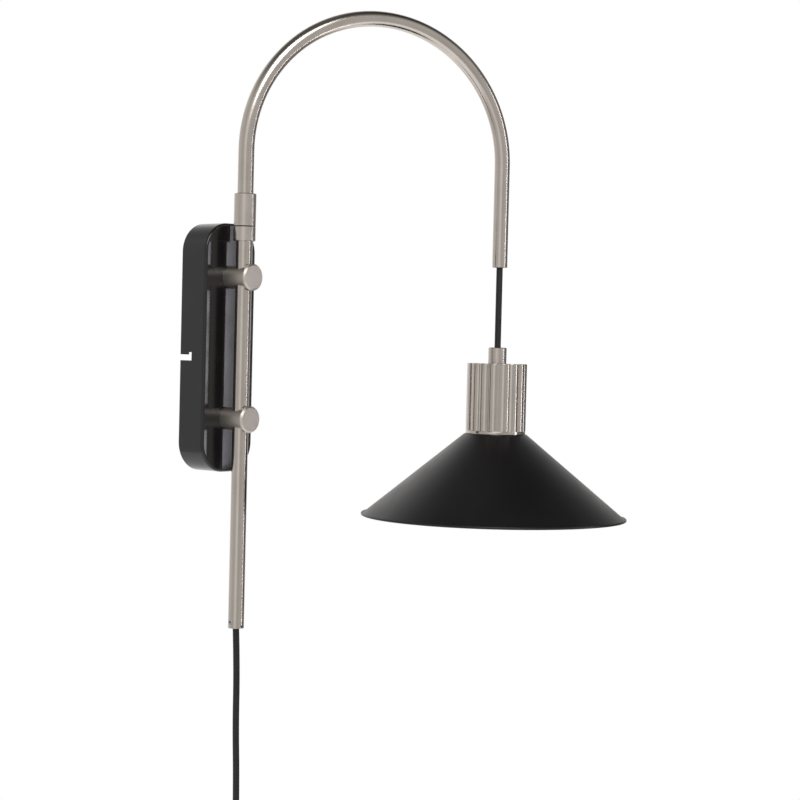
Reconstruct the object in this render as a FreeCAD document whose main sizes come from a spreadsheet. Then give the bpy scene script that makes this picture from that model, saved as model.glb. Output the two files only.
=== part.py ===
"""Hanging pendant wall sconce: a swivelling arch arm on a clamped stem, with a reeded socket cup,
a conical shade and a plug-in cord.

Millimetres, +Z up. The wall is the plane y = 0, the lamp stands out from it towards -Y, and the origin
is the centre of the wall plate's back. The arm rests swung to the side by arm_angle.
"""

import FreeCAD, Part
import math
import os
import re

import Sketcher
from FreeCAD import Placement, Rotation, Vector

SIZES = (
    ("plate_width", 51, "wall plate across"),
    ("plate_height", 187, "wall plate, top to bottom"),
    ("plate_depth", 26, "wall plate, wall to front face"),
    ("plate_corner", 22, "corner radius of the wall plate"),
    ("plate_edge", 2, "rounding of the front edge"),
    ("plate_steel", 1.2, "sheet of the wall plate"),
    ("notch_low", -10.1, "cable notch, lower edge"),
    ("notch_high", -5.7, "cable notch, upper edge"),
    ("notch_top", -3.9, "upper edge of the step at the notch's inner end"),
    ("notch_deep", 12.3, "cable notch, from the wall to its inner end"),
    ("notch_step", 8.2, "from the wall to the step in the notch"),
    ("bracket_width", 22, "wall bracket across"),
    ("bracket_shoulder", 70, "half the length of the wide part of the bracket"),
    ("bracket_neck", 9, "narrow ends of the bracket"),
    ("bracket_reach", 92.1, "half the bracket's length"),
    ("bracket_steel", 1.5, "steel of the bracket"),
    ("flange_deep", 12, "bent ends of the bracket, out from the wall"),
    ("slot_spacing", 60, "wall screw slots, centre to centre"),
    ("slot_length", 14, "wall screw slot, end to end"),
    ("slot_width", 4.5, "wall screw slot across"),
    ("cover_screw_out", 8, "cover screws, out from the wall"),
    ("cover_screw_radius", 1.65, "shank of a cover screw"),
    ("cover_head_radius", 2.7, "countersunk head of a cover screw"),
    ("post_spacing", 106, "stem posts, centre to centre"),
    ("post_radius", 8.5, "stem post"),
    ("post_reach", 48.6, "post's outer end, out from the wall"),
    ("post_thread", 3.02, "threaded bore at the post's root"),
    ("post_thread_end", 33, "end of that bore, out from the wall"),
    ("stem_from_wall", 40, "stem axis, out from the wall"),
    ("stem_bore", 6.1, "cross bore of a post"),
    ("stud_bore", 2.52, "threaded bore for the clamp stud"),
    ("knob_radius", 10, "clamp knob"),
    ("knob_back", 48.8, "knob's back face, out from the wall"),
    ("knob_front", 51.2, "knob's front face, out from the wall"),
    ("knob_bevel", 1.3, "bevel of the knob's front edge"),
    ("stud_radius", 2.45, "clamp stud"),
    ("pad_inner", 46.1, "clamp pad's face against the stem, out from the wall"),
    ("pad_outer", 47.1, "clamp pad's back, out from the wall"),
    ("tube_radius", 6, "stem and arch tube"),
    ("tube_bore", 5, "inside of the stem and arch tube"),
    ("stem_foot", -210, "lower end of the stem"),
    ("stem_head", 90.3, "upper end of the stem tube"),
    ("ring_foot", 80, "underside of the swivel's lower ring"),
    ("ring_head", 90.5, "top of the swivel's lower ring"),
    ("sleeve_foot", 91.4, "underside of the swivel's upper sleeve"),
    ("sleeve_head", 115.5, "top of the swivel's upper sleeve"),
    ("sleeve_radius", 8.25, "swivel ring and sleeve"),
    ("spigot_radius", 4.92, "running part of the swivel spigot"),
    ("spigot_bore", 3.4, "cable way through the spigot"),
    ("stop_height", 103, "middle of the stop groove"),
    ("stop_gap", 3.5, "height of the stop groove"),
    ("stop_floor", 4.1, "radius of the groove's floor"),
    ("stop_turn", 186, "angle that the stop groove spans"),
    ("grub_height", -205.3, "cord grip screw on the stem"),
    ("arch_foot", 92.3, "lower end of the arch's near leg"),
    ("arch_spring", 148, "height at which the half circle starts"),
    ("arch_radius", 106, "half circle's centreline radius"),
    ("arch_end", 68, "end of the arch's far leg"),
    ("arch_recess", 4, "how far the hanging cable reaches up into the far leg"),
    ("gland_recess", 3.5, "how far the hanging cable reaches down into the gland"),
    ("cable_gap", 0.3, "from the hanging cable's round ends to the cable beyond them"),
    ("arm_angle", 65, "degrees that the arm rests swung from straight out"),
    ("cord_radius", 2.5, "cable and power cord"),
    ("gland_radius", 7.2, "cable gland"),
    ("gland_head", 5, "top of the gland"),
    ("cup_head", -7.6, "top of the socket cup"),
    ("cup_foot", -63, "underside of the socket cup"),
    ("cup_radius", 23.7, "socket cup over its reeds"),
    ("cup_bore", 20.9, "inside of the socket cup"),
    ("cup_core", 22.1, "socket cup at the grooves between reeds"),
    ("cup_band", 2.4, "plain band at the foot of the cup"),
    ("reed_radius", 5.4, "roundness of one reed"),
    ("reed_count", 16, "reeds round the cup"),
    ("nipple_radius", 5, "M10 hollow nipple"),
    ("holder_radius", 19.4, "lampholder outside"),
    ("shell_bore", 13.35, "thread shell, inside"),
    ("shade_neck", 24.6, "shade at its top"),
    ("shade_radius", 105, "shade at its rim"),
    ("shade_height", 66.5, "shade, top to rim"),
    ("shade_wall", 1.2, "sheet of the shade's top"),
    ("shade_wall_across", 1.9, "sheet of the cone, measured level"),
    ("switch_width", 26, "in-line switch across"),
    ("switch_length", 56, "in-line switch, end to end"),
    ("switch_half", 8.6, "thickness of each half of the switch"),
    ("switch_top", -347, "upper end of the switch"),
    ("switch_side", 2, "switch axis, to the side of the stem"),
    ("switch_out", 42.2, "switch axis, out from the wall"),
    ("run_length", 90, "straight part of each run of the hank"),
    ("first_run", 15.5, "innermost run, from the hank's middle"),
    ("run_step", 3, "how much further out each next run lies"),
    ("runs", 10, "runs in the hank"),
    ("waist_pull", 8, "how far the tie draws each run in"),
    ("layer_gap", 5.6, "from the first layer of runs to the second"),
    ("hank_side", -17.5, "hank's middle, to the side of the stem"),
    ("hank_out", 43.5, "hank's middle, out from the wall"),
    ("hank_top", -455, "upper end of the hank's runs"),
    ("plug_side", 12, "plug, to the side of the stem"),
    ("plug_out", 58.5, "plug, out from the wall"),
    ("plug_top", -462, "upper end of the plug's body"),
    ("pin_radius", 2, "plug pin"),
    ("pin_length", 19, "plug pin"),
    ("pin_spacing", 18.6, "plug pins, centre to centre"),
)
NAMES = {name for name, _, _ in SIZES}
SIZE = {name: value for name, value, _ in SIZES}

# The turns that lay a piece along an axis.
UPRIGHT = Rotation()
OUT_FROM_WALL = Rotation(Vector(1, 0, 0), 90)
INTO_WALL = Rotation(Vector(0, 0, 1), 180) * OUT_FROM_WALL
ALONG_ARM = Rotation(Vector(0, 0, 1), SIZE["arm_angle"] - 90)
UPSIDE_DOWN = Rotation(Vector(1, 0, 0), 180)

doc = FreeCAD.newDocument("WallSconce")
parts = {}


def sized(text):
    """The expression with each size read from the sheet."""
    return re.sub(r"[a-z_]+", lambda m: "Dims." + m[0] if m[0] in NAMES else m[0], str(text))


def sheet_of_sizes():
    sheet = doc.addObject("Spreadsheet::Sheet", "Dims")
    for row, (name, value, what) in enumerate(SIZES, 1):
        sheet.set(f"A{row}", name)
        sheet.set(f"B{row}", str(value))
        sheet.set(f"C{row}", what)
        sheet.setAlias(f"B{row}", name)
    doc.recompute()
    return sheet


sheet = sheet_of_sizes()


def amount(text):
    """The number that an expression comes to."""
    return float(sheet.evalExpression(sized(text)))


def place(piece, x=0, y=0, z=0, turn=UPRIGHT):
    """Puts a piece at a point given by expressions."""
    piece.Placement = Placement(Vector(amount(x), amount(y), amount(z)), turn)
    for axis, text in (("x", x), ("y", y), ("z", z)):
        piece.setExpression(f"Placement.Base.{axis}", sized(text))
    return piece


def named(name, piece):
    """Names a finished sub-part and lists it for writing."""
    piece.Label = name
    parts[name] = piece
    return piece


# ---------------------------------------------------------------- sketches and features


def body(name):
    return doc.addObject("PartDesign::Body", name + "_body")


def sketch(owner, plane, offset=0):
    """A sketch on one of the body's own origin planes, moved along that plane's normal."""
    made = owner.newObject("Sketcher::SketchObject", owner.Name + "_sketch")
    flat = [f for f in owner.Origin.OriginFeatures if f.Role == plane + "_Plane"][0]
    made.AttachmentSupport = [(flat, "")]
    made.MapMode = "FlatFace"
    made.AttachmentOffset = Placement(Vector(0, 0, amount(offset)), UPRIGHT)
    made.setExpression("AttachmentOffset.Base.z", sized(offset))
    return made


def hold(made, kind, text, *where):
    """Adds a constraint of a size to the sketch, bound to its expression."""
    number = made.addConstraint(Sketcher.Constraint(kind, *where, amount(text)))
    made.setExpression(f"Constraints[{number}]", sized(text))


def fix(made, geometry, point, x, y):
    """Holds a point of the sketch at x, y from the origin."""
    hold(made, "DistanceX", x, -1, 1, geometry, point)
    hold(made, "DistanceY", y, -1, 1, geometry, point)


def outline(made, points):
    """A closed outline of straight edges through points given by expressions."""
    flat = [Vector(amount(x), amount(y), 0) for x, y in points]
    ids = [
        made.addGeometry(Part.LineSegment(start, end))
        for start, end in zip(flat, flat[1:] + flat[:1])
    ]
    for this, following in zip(ids, ids[1:] + ids[:1]):
        made.addConstraint(Sketcher.Constraint("Coincident", this, 2, following, 1))
    for line, (x, y) in zip(ids, points):
        fix(made, line, 1, x, y)


def circle(made, x, y, radius):
    middle = Vector(amount(x), amount(y), 0)
    ring = made.addGeometry(Part.Circle(middle, Vector(0, 0, 1), amount(radius)))
    fix(made, ring, 3, x, y)
    hold(made, "Radius", radius, ring)


def arc(made, x, y, radius, start, end):
    """An arc about x, y between two angles in degrees."""
    ring = Part.Circle(Vector(amount(x), amount(y), 0), Vector(0, 0, 1), amount(radius))
    made_arc = made.addGeometry(Part.ArcOfCircle(ring, math.radians(start), math.radians(end)))
    fix(made, made_arc, 3, x, y)
    hold(made, "Radius", radius, made_arc)
    return made_arc


def join_arcs(made, arcs):
    """Closes a ring of arcs with the lines that touch each arc and the next."""
    shape = made.Geometry
    for this, following in zip(arcs, arcs[1:] + arcs[:1]):
        line = made.addGeometry(Part.LineSegment(shape[this].EndPoint, shape[following].StartPoint))
        made.addConstraint(Sketcher.Constraint("Tangent", this, 2, line, 1))
        made.addConstraint(Sketcher.Constraint("Tangent", line, 2, following, 1))


def rounded(made, width, height, corner):
    """A rectangle about the origin with rounded corners."""
    x, y = f"({width} / 2 - {corner})", f"({height} / 2 - {corner})"
    corners = ((x, f"-{y}", 270), (x, y, 0), (f"-{x}", y, 90), (f"-{x}", f"-{y}", 180))
    join_arcs(made, [arc(made, cx, cy, corner, start, start + 90) for cx, cy, start in corners])


def slot(made, width, length, y):
    """An upright slot about 0, y."""
    half = f"({length} - {width}) / 2"
    head = arc(made, 0, f"{y} + {half}", f"{width} / 2", 0, 180)
    foot = arc(made, 0, f"{y} - {half}", f"{width} / 2", 180, 360)
    join_arcs(made, [head, foot])


def pad(owner, made, length, reverse=False):
    feature = owner.newObject("PartDesign::Pad", owner.Name + "_pad")
    feature.Profile = made
    feature.Length = amount(length)
    feature.setExpression("Length", sized(length))
    feature.Reversed = reverse
    return feature


def pocket(owner, made, depth=None, reverse=False, both=False):
    """A cut from a sketch: along the normal's far side, or its near side, or both ways through all."""
    feature = owner.newObject("PartDesign::Pocket", owner.Name + "_pocket")
    feature.Profile = made
    feature.Reversed = reverse
    if depth is None:
        feature.Type = "ThroughAll"
        if both:
            feature.SideType = "Symmetric"
    else:
        feature.Length = amount(depth)
        feature.setExpression("Length", sized(depth))
    return feature


def rounding(owner, base, radius, chosen):
    """Rounds the edges of a feature for which chosen(edge) holds."""
    doc.recompute()
    edges = [f"Edge{n}" for n, edge in enumerate(base.Shape.Edges, 1) if chosen(edge)]
    feature = owner.newObject("PartDesign::Fillet", owner.Name + "_fillet")
    feature.Base = (base, edges)
    feature.Radius = amount(radius)
    feature.setExpression("Radius", sized(radius))
    return feature


def turned(name, points):
    """A body turned about its own Z axis from an outline of radius and height."""
    owner = body(name)
    made = sketch(owner, "XZ")
    outline(made, points)
    feature = owner.newObject("PartDesign::Revolution", name + "_turned")
    feature.Profile = made
    feature.ReferenceAxis = (made, ["V_Axis"])
    feature.Angle = 360
    return owner


def pipe(name, inner, outer, foot, far_end):
    """A tube, or a rod where inner is None, up from foot, over the arch and down to its far end."""
    owner = body(name)
    path = sketch(owner, "XZ")
    low, high, last = amount(foot), SIZE["arch_spring"], amount(far_end)
    radius = SIZE["arch_radius"]
    up = path.addGeometry(Part.LineSegment(Vector(0, low, 0), Vector(0, high, 0)))
    bend = Part.Circle(Vector(radius, high, 0), Vector(0, 0, 1), radius)
    over = path.addGeometry(Part.ArcOfCircle(bend, 0, math.pi))
    down = path.addGeometry(Part.LineSegment(Vector(2 * radius, high, 0), Vector(2 * radius, last, 0)))
    fix(path, up, 1, 0, foot)
    fix(path, up, 2, 0, "arch_spring")
    fix(path, down, 1, "2 * arch_radius", "arch_spring")
    fix(path, down, 2, "2 * arch_radius", far_end)
    path.addConstraint(Sketcher.Constraint("Coincident", over, 2, up, 2))
    path.addConstraint(Sketcher.Constraint("Coincident", over, 1, down, 1))
    hold(path, "DistanceY", "arch_spring", -1, 1, over, 3)
    section = sketch(owner, "XY", foot)
    circle(section, 0, 0, outer)
    if inner:
        circle(section, 0, 0, inner)
    feature = owner.newObject("PartDesign::AdditivePipe", name + "_pipe")
    feature.Profile = section
    feature.Spine = (path, ["Edge1", "Edge2", "Edge3"])
    return owner


def rod(name, radius, low, high):
    """An upright cylinder from one height to another."""
    made = doc.addObject("Part::Cylinder", name)
    made.setExpression("Radius", sized(radius))
    made.setExpression("Height", sized(f"({high}) - ({low})"))
    return made


def together(name, *pieces):
    """Separate solids that share one node."""
    made = doc.addObject("Part::Compound", name)
    made.Links = list(pieces)
    return made


def group(name, *pieces):
    return named(name, together(name, *pieces))


# ---------------------------------------------------------------- wall plate and bracket


def wall_plate():
    """A pressed shell, open to the wall, with a cable notch in each side."""
    owner = body("wall_plate")
    made = sketch(owner, "XZ")
    rounded(made, "plate_width", "plate_height", "plate_corner")
    block = pad(owner, made, "plate_depth")
    front = -SIZE["plate_depth"]
    rounding(owner, block, "plate_edge", lambda e: all(abs(v.Y - front) < 1e-6 for v in e.Vertexes))
    made = sketch(owner, "XZ")
    inside = ["%s - 2 * plate_steel" % side for side in ("plate_width", "plate_height")]
    rounded(made, f"({inside[0]})", f"({inside[1]})", "(plate_corner - plate_steel)")
    pocket(owner, made, "plate_depth - plate_steel", reverse=True)
    made = sketch(owner, "XZ")
    for side in (-1, 1):
        circle(made, 0, f"{side} * post_spacing / 2", "post_thread + 0.1")
    pocket(owner, made, reverse=True)
    made = sketch(owner, "XY")
    circle(made, 0, "-cover_screw_out", "cover_screw_radius + 0.1")
    pocket(owner, made, both=True)
    countersinks(owner)
    made = sketch(owner, "YZ")
    outline(
        made,
        (
            (1, "notch_low"),
            (1, "notch_high"),
            ("-notch_step", "notch_high"),
            ("-notch_step", "notch_top"),
            ("-notch_deep", "notch_top"),
            ("-notch_deep", "notch_low"),
        ),
    )
    pocket(owner, made, both=True)
    return named("wall_plate", owner)


def countersinks(owner):
    """Cone-shaped seats for the cover screws, at the plate's top and bottom."""
    for side in (-1, 1):
        seat = owner.newObject("PartDesign::SubtractiveCone", "countersink")
        wide, tight = "cover_head_radius + 0.05", "cover_screw_radius + 0.05"
        seat.setExpression("Radius1", sized(tight))
        seat.setExpression("Radius2", sized(wide))
        seat.setExpression("Height", sized("plate_steel"))
        inner = f"{side} * (plate_height / 2 - plate_steel)"
        seat.Placement = Placement(
            Vector(0, amount("-cover_screw_out"), amount(inner)), UPRIGHT if side > 0 else UPSIDE_DOWN
        )
        seat.setExpression("Placement.Base.y", sized("-cover_screw_out"))
        seat.setExpression("Placement.Base.z", sized(inner))


def wall_bracket():
    """A slotted strip on the wall, with bent ends that the wall plate is screwed to."""
    owner = body("wall_bracket")
    made = sketch(owner, "XZ")
    corners = (
        ("bracket_neck / 2", "bracket_reach"),
        ("bracket_neck / 2", "bracket_shoulder + 6"),
        ("bracket_width / 2", "bracket_shoulder"),
        ("bracket_width / 2", "-bracket_shoulder"),
        ("bracket_neck / 2", "-bracket_shoulder - 6"),
        ("bracket_neck / 2", "-bracket_reach"),
    )
    outline(made, corners + tuple((f"-{x}", y) for x, y in reversed(corners)))
    pad(owner, made, "bracket_steel")
    for height in ("bracket_reach - bracket_steel", "-bracket_reach"):
        made = sketch(owner, "XY", height)
        half, deep = "bracket_neck / 2", "-flange_deep"
        outline(made, ((f"-{half}", deep), (half, deep), (half, 0), (f"-{half}", 0)))
        pad(owner, made, "bracket_steel")
    made = sketch(owner, "XZ")
    for side in (-1, 1):
        slot(made, "slot_width", "slot_length", f"{side} * slot_spacing / 2")
    pocket(owner, made, reverse=True)
    made = sketch(owner, "XY")
    circle(made, 0, "-cover_screw_out", "cover_screw_radius + 0.02")
    pocket(owner, made, both=True)
    return named("wall_bracket", owner)


def cover_screws():
    """Two countersunk screws, through the plate's top and bottom into the bracket's bent ends."""
    screws = []
    for turn in (UPRIGHT, UPSIDE_DOWN):
        top = "plate_height / 2"
        screw = turned(
            "cover_screw",
            (
                (0, f"{top} - 6"),
                ("cover_screw_radius", f"{top} - 6"),
                ("cover_screw_radius", f"{top} - plate_steel"),
                ("cover_head_radius", top),
                (0.9, top),
                (0.9, f"{top} - 1"),
                (0, f"{top} - 1"),
            ),
        )
        screws.append(place(screw, 0, "-cover_screw_out", 0, turn))
    group("cover_screws", *screws)


# ---------------------------------------------------------------- posts and clamps


def post(name, height):
    """A stand-off post, bored across for the stem and threaded at both ends."""
    owner = turned(
        name,
        (
            ("post_thread", "plate_depth"),
            ("post_radius", "plate_depth"),
            ("post_radius", "post_reach - 0.5"),
            ("post_radius - 0.5", "post_reach"),
            ("stud_bore", "post_reach"),
            ("stud_bore", "stem_from_wall"),
            (0, "stem_from_wall"),
            (0, "post_thread_end"),
            ("post_thread", "post_thread_end"),
        ),
    )
    made = sketch(owner, "XZ")
    circle(made, 0, "stem_from_wall", "stem_bore")
    pocket(owner, made, both=True)
    return named(name, place(owner, z=height, turn=OUT_FROM_WALL))


def post_screw(height):
    """A socket-head screw from inside the plate into a post."""
    seat = "plate_depth - plate_steel - 1.2"
    owner = turned(
        "post_screw",
        (
            (0, "post_thread_end - 0.5"),
            (2.98, "post_thread_end - 0.5"),
            (2.98, seat),
            (5, seat),
            (5, f"{seat} - 4"),
            (2, f"{seat} - 4"),
            (2, f"{seat} - 2"),
            (0, f"{seat} - 2"),
        ),
    )
    return place(owner, z=height, turn=OUT_FROM_WALL)


def post_washer(height):
    seat = "plate_depth - plate_steel"
    owner = turned("post_washer", ((3.2, f"{seat} - 1.2"), (6, f"{seat} - 1.2"), (6, seat), (3.2, seat)))
    return place(owner, z=height, turn=OUT_FROM_WALL)


def clamp(side, height):
    """Pad, stud and knob that clamp the stem in one post."""
    pad_disc = turned(
        side + "_clamp_pad",
        ((0, "pad_inner"), (2.3, "pad_inner"), (2.3, "pad_outer"), (0, "pad_outer")),
    )
    stud = turned(
        side + "_clamp_stud",
        (
            (0, "pad_outer + 0.02"),
            ("stud_radius - 0.4", "pad_outer + 0.02"),
            ("stud_radius", "pad_outer + 0.42"),
            ("stud_radius", "knob_front - 1"),
            (0, "knob_front - 1"),
        ),
    )
    knob = turned(
        side + "_clamp_knob",
        (
            ("stud_radius + 0.03", "knob_back"),
            ("knob_radius - 0.3", "knob_back"),
            ("knob_radius", "knob_back + 0.3"),
            ("knob_radius", "knob_front - knob_bevel"),
            ("knob_radius - knob_bevel", "knob_front"),
            (0, "knob_front"),
            (0, "knob_front - 0.98"),
            ("stud_radius + 0.03", "knob_front - 0.98"),
        ),
    )
    for name, piece in (("pad", pad_disc), ("stud", stud), ("knob", knob)):
        named(f"{side}_clamp_{name}", place(piece, z=height, turn=OUT_FROM_WALL))


def posts_and_clamps():
    heights = {"upper": "post_spacing / 2", "lower": "-post_spacing / 2"}
    for side, height in heights.items():
        post(side + "_post", height)
        clamp(side, height)
    group("post_screws", *[post_screw(height) for height in heights.values()])
    group("post_washers", *[post_washer(height) for height in heights.values()])


# ---------------------------------------------------------------- stem and swivel


def on_stem(name, piece, turn=UPRIGHT, z=0):
    return named(name, place(piece, 0, "-stem_from_wall", z, turn))


def stem_tube():
    owner = turned(
        "stem_tube",
        (
            ("tube_bore", "stem_foot"),
            ("tube_radius", "stem_foot"),
            ("tube_radius", "stem_head"),
            ("tube_bore", "stem_head"),
        ),
    )
    made = sketch(owner, "YZ")
    circle(made, 0, "grub_height", 2.02)
    pocket(owner, made)
    made = sketch(owner, "XZ")
    circle(made, 0, "stem_foot + 1.6", 0.85)
    pocket(owner, made, reverse=True)
    on_stem("stem_tube", owner)


def stem_cord_bush():
    """The plastic bush in the stem's foot, with the snap stud that shows in the tube's wall."""
    owner = turned(
        "stem_cord_bush",
        (
            ("cord_radius + 0.1", "stem_foot + 0.2"),
            ("tube_bore - 0.05", "stem_foot + 0.2"),
            ("tube_bore - 0.05", "stem_foot + 11"),
            ("cord_radius + 0.1", "stem_foot + 11"),
        ),
    )
    made = sketch(owner, "YZ")
    circle(made, 0, "grub_height", 2.05)
    pocket(owner, made)
    made = sketch(owner, "XZ", "cord_radius + 1")
    circle(made, 0, "stem_foot + 1.6", 0.75)
    pad(owner, made, "tube_radius - cord_radius - 1.1")
    on_stem("stem_cord_bush", owner)


def cord_grub_screw():
    owner = turned(
        "cord_grub_screw",
        (
            (0, "cord_radius + 0.1"),
            (1.5, "cord_radius + 0.1"),
            (1.95, "cord_radius + 0.6"),
            (1.95, "tube_radius + 0.1"),
            (0.95, "tube_radius + 0.1"),
            (0.95, "tube_radius - 1.4"),
            (0, "tube_radius - 1.4"),
        ),
    )
    on_stem("cord_grub_screw", owner, Rotation(Vector(0, 1, 0), -90), "grub_height")


def swivel():
    """Ring, washer and spigot on the stem; the arm's stop screw runs in the spigot's groove.

    The groove is cut about +X, where the stop screw stands when the arm points straight out.
    """
    ring = turned(
        "swivel_lower_ring",
        (
            ("tube_radius + 0.02", "ring_foot"),
            ("sleeve_radius - 0.4", "ring_foot"),
            ("sleeve_radius", "ring_foot + 0.4"),
            ("sleeve_radius", "ring_head"),
            ("tube_radius + 0.02", "ring_head"),
        ),
    )
    on_stem("swivel_lower_ring", ring)
    washer = turned(
        "swivel_washer",
        (
            ("tube_radius + 0.3", "ring_head"),
            ("sleeve_radius - 0.3", "ring_head"),
            ("sleeve_radius - 0.3", "sleeve_foot - 0.1"),
            ("tube_radius + 0.3", "sleeve_foot - 0.1"),
        ),
    )
    on_stem("swivel_washer", washer)
    spigot = turned(
        "swivel_spigot",
        (
            ("spigot_bore", "stem_head - 24"),
            ("tube_bore - 0.03", "stem_head - 24"),
            ("tube_bore - 0.03", "stem_head"),
            ("spigot_radius", "stem_head"),
            ("spigot_radius", "sleeve_head - 5.5"),
            ("spigot_bore", "sleeve_head - 5.5"),
        ),
    )
    made = sketch(spigot, "XZ")
    low, high = "stop_height - stop_gap / 2", "stop_height + stop_gap / 2"
    outline(made, (("stop_floor", low), (6, low), (6, high), ("stop_floor", high)))
    groove = spigot.newObject("PartDesign::Groove", "stop_groove")
    groove.Profile = made
    groove.ReferenceAxis = (made, ["V_Axis"])
    groove.Angle = SIZE["stop_turn"]
    groove.setExpression("Angle", sized("stop_turn"))
    groove.Midplane = True
    on_stem("swivel_spigot", spigot)


def stem_cable():
    on_stem("stem_cable", rod("stem_cable_rod", "cord_radius", "stem_foot", "stop_height - 3"), z="stem_foot")


# ---------------------------------------------------------------- arm


def on_arm(name, piece, along=0, turn=UPRIGHT, z=0):
    """Places a piece at a distance along the arm from the stem's axis."""
    x = f"({along}) * sin(arm_angle)"
    y = f"-stem_from_wall - ({along}) * cos(arm_angle)"
    return named(name, place(piece, x, y, z, ALONG_ARM * turn))


def arm():
    tube = pipe("arch_tube", "tube_bore", "tube_radius", "arch_foot", "arch_end")
    made = sketch(tube, "XZ")
    circle(made, 0, "stop_height", 1.55)
    pocket(tube, made)
    on_arm("arch_tube", tube)
    sleeve = turned(
        "swivel_upper_sleeve",
        (
            ("tube_radius + 0.02", "sleeve_foot"),
            ("sleeve_radius", "sleeve_foot"),
            ("sleeve_radius", "sleeve_head - 0.5"),
            ("sleeve_radius - 0.5", "sleeve_head"),
            ("tube_radius + 0.02", "sleeve_head"),
        ),
    )
    made = sketch(sleeve, "XZ")
    circle(made, 0, "stop_height", 1.55)
    pocket(sleeve, made)
    on_arm("swivel_upper_sleeve", sleeve)
    screw = turned(
        "swivel_stop_screw",
        (
            (0, "stop_floor + 0.3"),
            (1.45, "stop_floor + 0.3"),
            (1.45, "sleeve_radius - 0.15"),
            (0.75, "sleeve_radius - 0.15"),
            (0.75, "sleeve_radius - 1.5"),
            (0, "sleeve_radius - 1.5"),
        ),
    )
    on_arm("swivel_stop_screw", screw, 0, Rotation(Vector(1, 0, 0), -90), "stop_height")
    bush = turned(
        "arch_end_bush",
        (
            ("cord_radius + 0.1", "arch_end + arch_recess + 0.6"),
            ("tube_bore - 0.05", "arch_end + arch_recess + 0.6"),
            ("tube_bore - 0.05", "arch_end + arch_recess + 10"),
            ("cord_radius + 0.1", "arch_end + arch_recess + 10"),
        ),
    )
    on_arm("arch_end_bush", bush, "2 * arch_radius")
    cable_end = "arch_end + arch_recess + cable_gap"
    on_arm("arch_cable", pipe("arch_cable", None, "cord_radius", "stop_height - 2.7", cable_end))


def on_lamp(name, piece, turn=UPRIGHT, z=0, side=0):
    """Places a piece on the pendant's axis, or to one side of it along the arm."""
    return on_arm(name, piece, f"2 * arch_radius + ({side})", turn, z)


def pendant_cable():
    """The short hanging cable, round-ended at the two points that it swings about, in leg and gland."""
    low, high = "gland_head - gland_recess", "arch_end + arch_recess"
    cord = rod("pendant_rod", "cord_radius", f"{low} + cord_radius", f"{high} - cord_radius")
    cord.setExpression("Placement.Base.z", sized(f"{low} + cord_radius"))
    ends = []
    for height in (f"{low} + cord_radius", f"{high} - cord_radius"):
        ball = doc.addObject("Part::Sphere", "pendant_end")
        ball.setExpression("Radius", sized("cord_radius"))
        ball.setExpression("Placement.Base.z", sized(height))
        ends.append(ball)
    made = doc.addObject("Part::MultiFuse", "pendant_fused")
    made.Shapes = [cord, *ends]
    on_lamp("pendant_cable", made)


# ---------------------------------------------------------------- gland, cup and lampholder


def gland():
    shell = turned(
        "cable_gland",
        (
            ("cord_radius + 1", "gland_head"),
            ("gland_radius - 0.5", "gland_head"),
            ("gland_radius", "gland_head - 0.5"),
            ("gland_radius", "cup_head"),
            ("nipple_radius + 0.05", "cup_head"),
            ("nipple_radius + 0.05", "gland_head - 6.6"),
            (4.7, "gland_head - 6.6"),
            (4.7, "gland_head - 1.5"),
            ("cord_radius + 1", "gland_head - 1.5"),
        ),
    )
    made = sketch(shell, "XZ")
    circle(made, 0, "gland_head - 4", 1.5)
    pocket(shell, made)
    on_lamp("cable_gland", shell)
    collet = turned(
        "gland_collet",
        (
            ("cord_radius + 0.05", "gland_head - 6.4"),
            (4.6, "gland_head - 6.4"),
            (4.6, "gland_head - gland_recess - cable_gap"),
            ("cord_radius + 0.05", "gland_head - gland_recess - cable_gap"),
        ),
    )
    on_lamp("gland_collet", collet)
    screw = turned(
        "gland_screw",
        ((0, 4.65), (1.45, 4.65), (1.45, "gland_radius - 0.2"), (0.7, "gland_radius - 0.2"), (0.7, 5.8), (0, 5.8)),
    )
    on_lamp("gland_screw", screw, Rotation(Vector(1, 0, 0), -90), "gland_head - 4")
    top = "gland_head - gland_recess - cable_gap"
    on_lamp("lamp_cable", rod("lamp_cable_rod", "cord_radius", "-18", top), z=-18)


def socket_cup():
    """A spun cup with round reeds over a plain band, closed at the top round the nipple."""
    owner = turned(
        "socket_cup",
        (
            ("nipple_radius + 0.1", "cup_head"),
            ("cup_core", "cup_head"),
            ("cup_core", "cup_foot + cup_band"),
            ("cup_radius", "cup_foot + cup_band"),
            ("cup_radius", "cup_foot"),
            ("cup_bore", "cup_foot"),
            ("cup_bore", "cup_head - 1.5"),
            ("nipple_radius + 0.1", "cup_head - 1.5"),
        ),
    )
    # One reed is a rod cut off at the cup's wall, so that only its crown stands out of the core.
    made = sketch(owner, "XY", "cup_head")
    circle(made, "cup_radius - reed_radius", 0, "reed_radius")
    crown = pad(owner, made, "cup_head - cup_foot - cup_band", reverse=True)
    doc.recompute()
    ring = owner.newObject("PartDesign::PolarPattern", "reeds")
    ring.Originals = [crown]
    ring.Axis = (made, ["N_Axis"])
    ring.Angle = 360
    ring.Occurrences = int(SIZE["reed_count"])
    owner.Tip = ring
    doc.recompute()
    made = sketch(owner, "XY", "cup_head - 1.5")
    circle(made, 0, 0, "cup_bore")
    pocket(owner, made)
    half_reed = 180 / SIZE["reed_count"]
    turn = Rotation(Vector(0, 0, 1), 90 - SIZE["arm_angle"] + half_reed)
    on_lamp("socket_cup", owner, turn)


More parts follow.
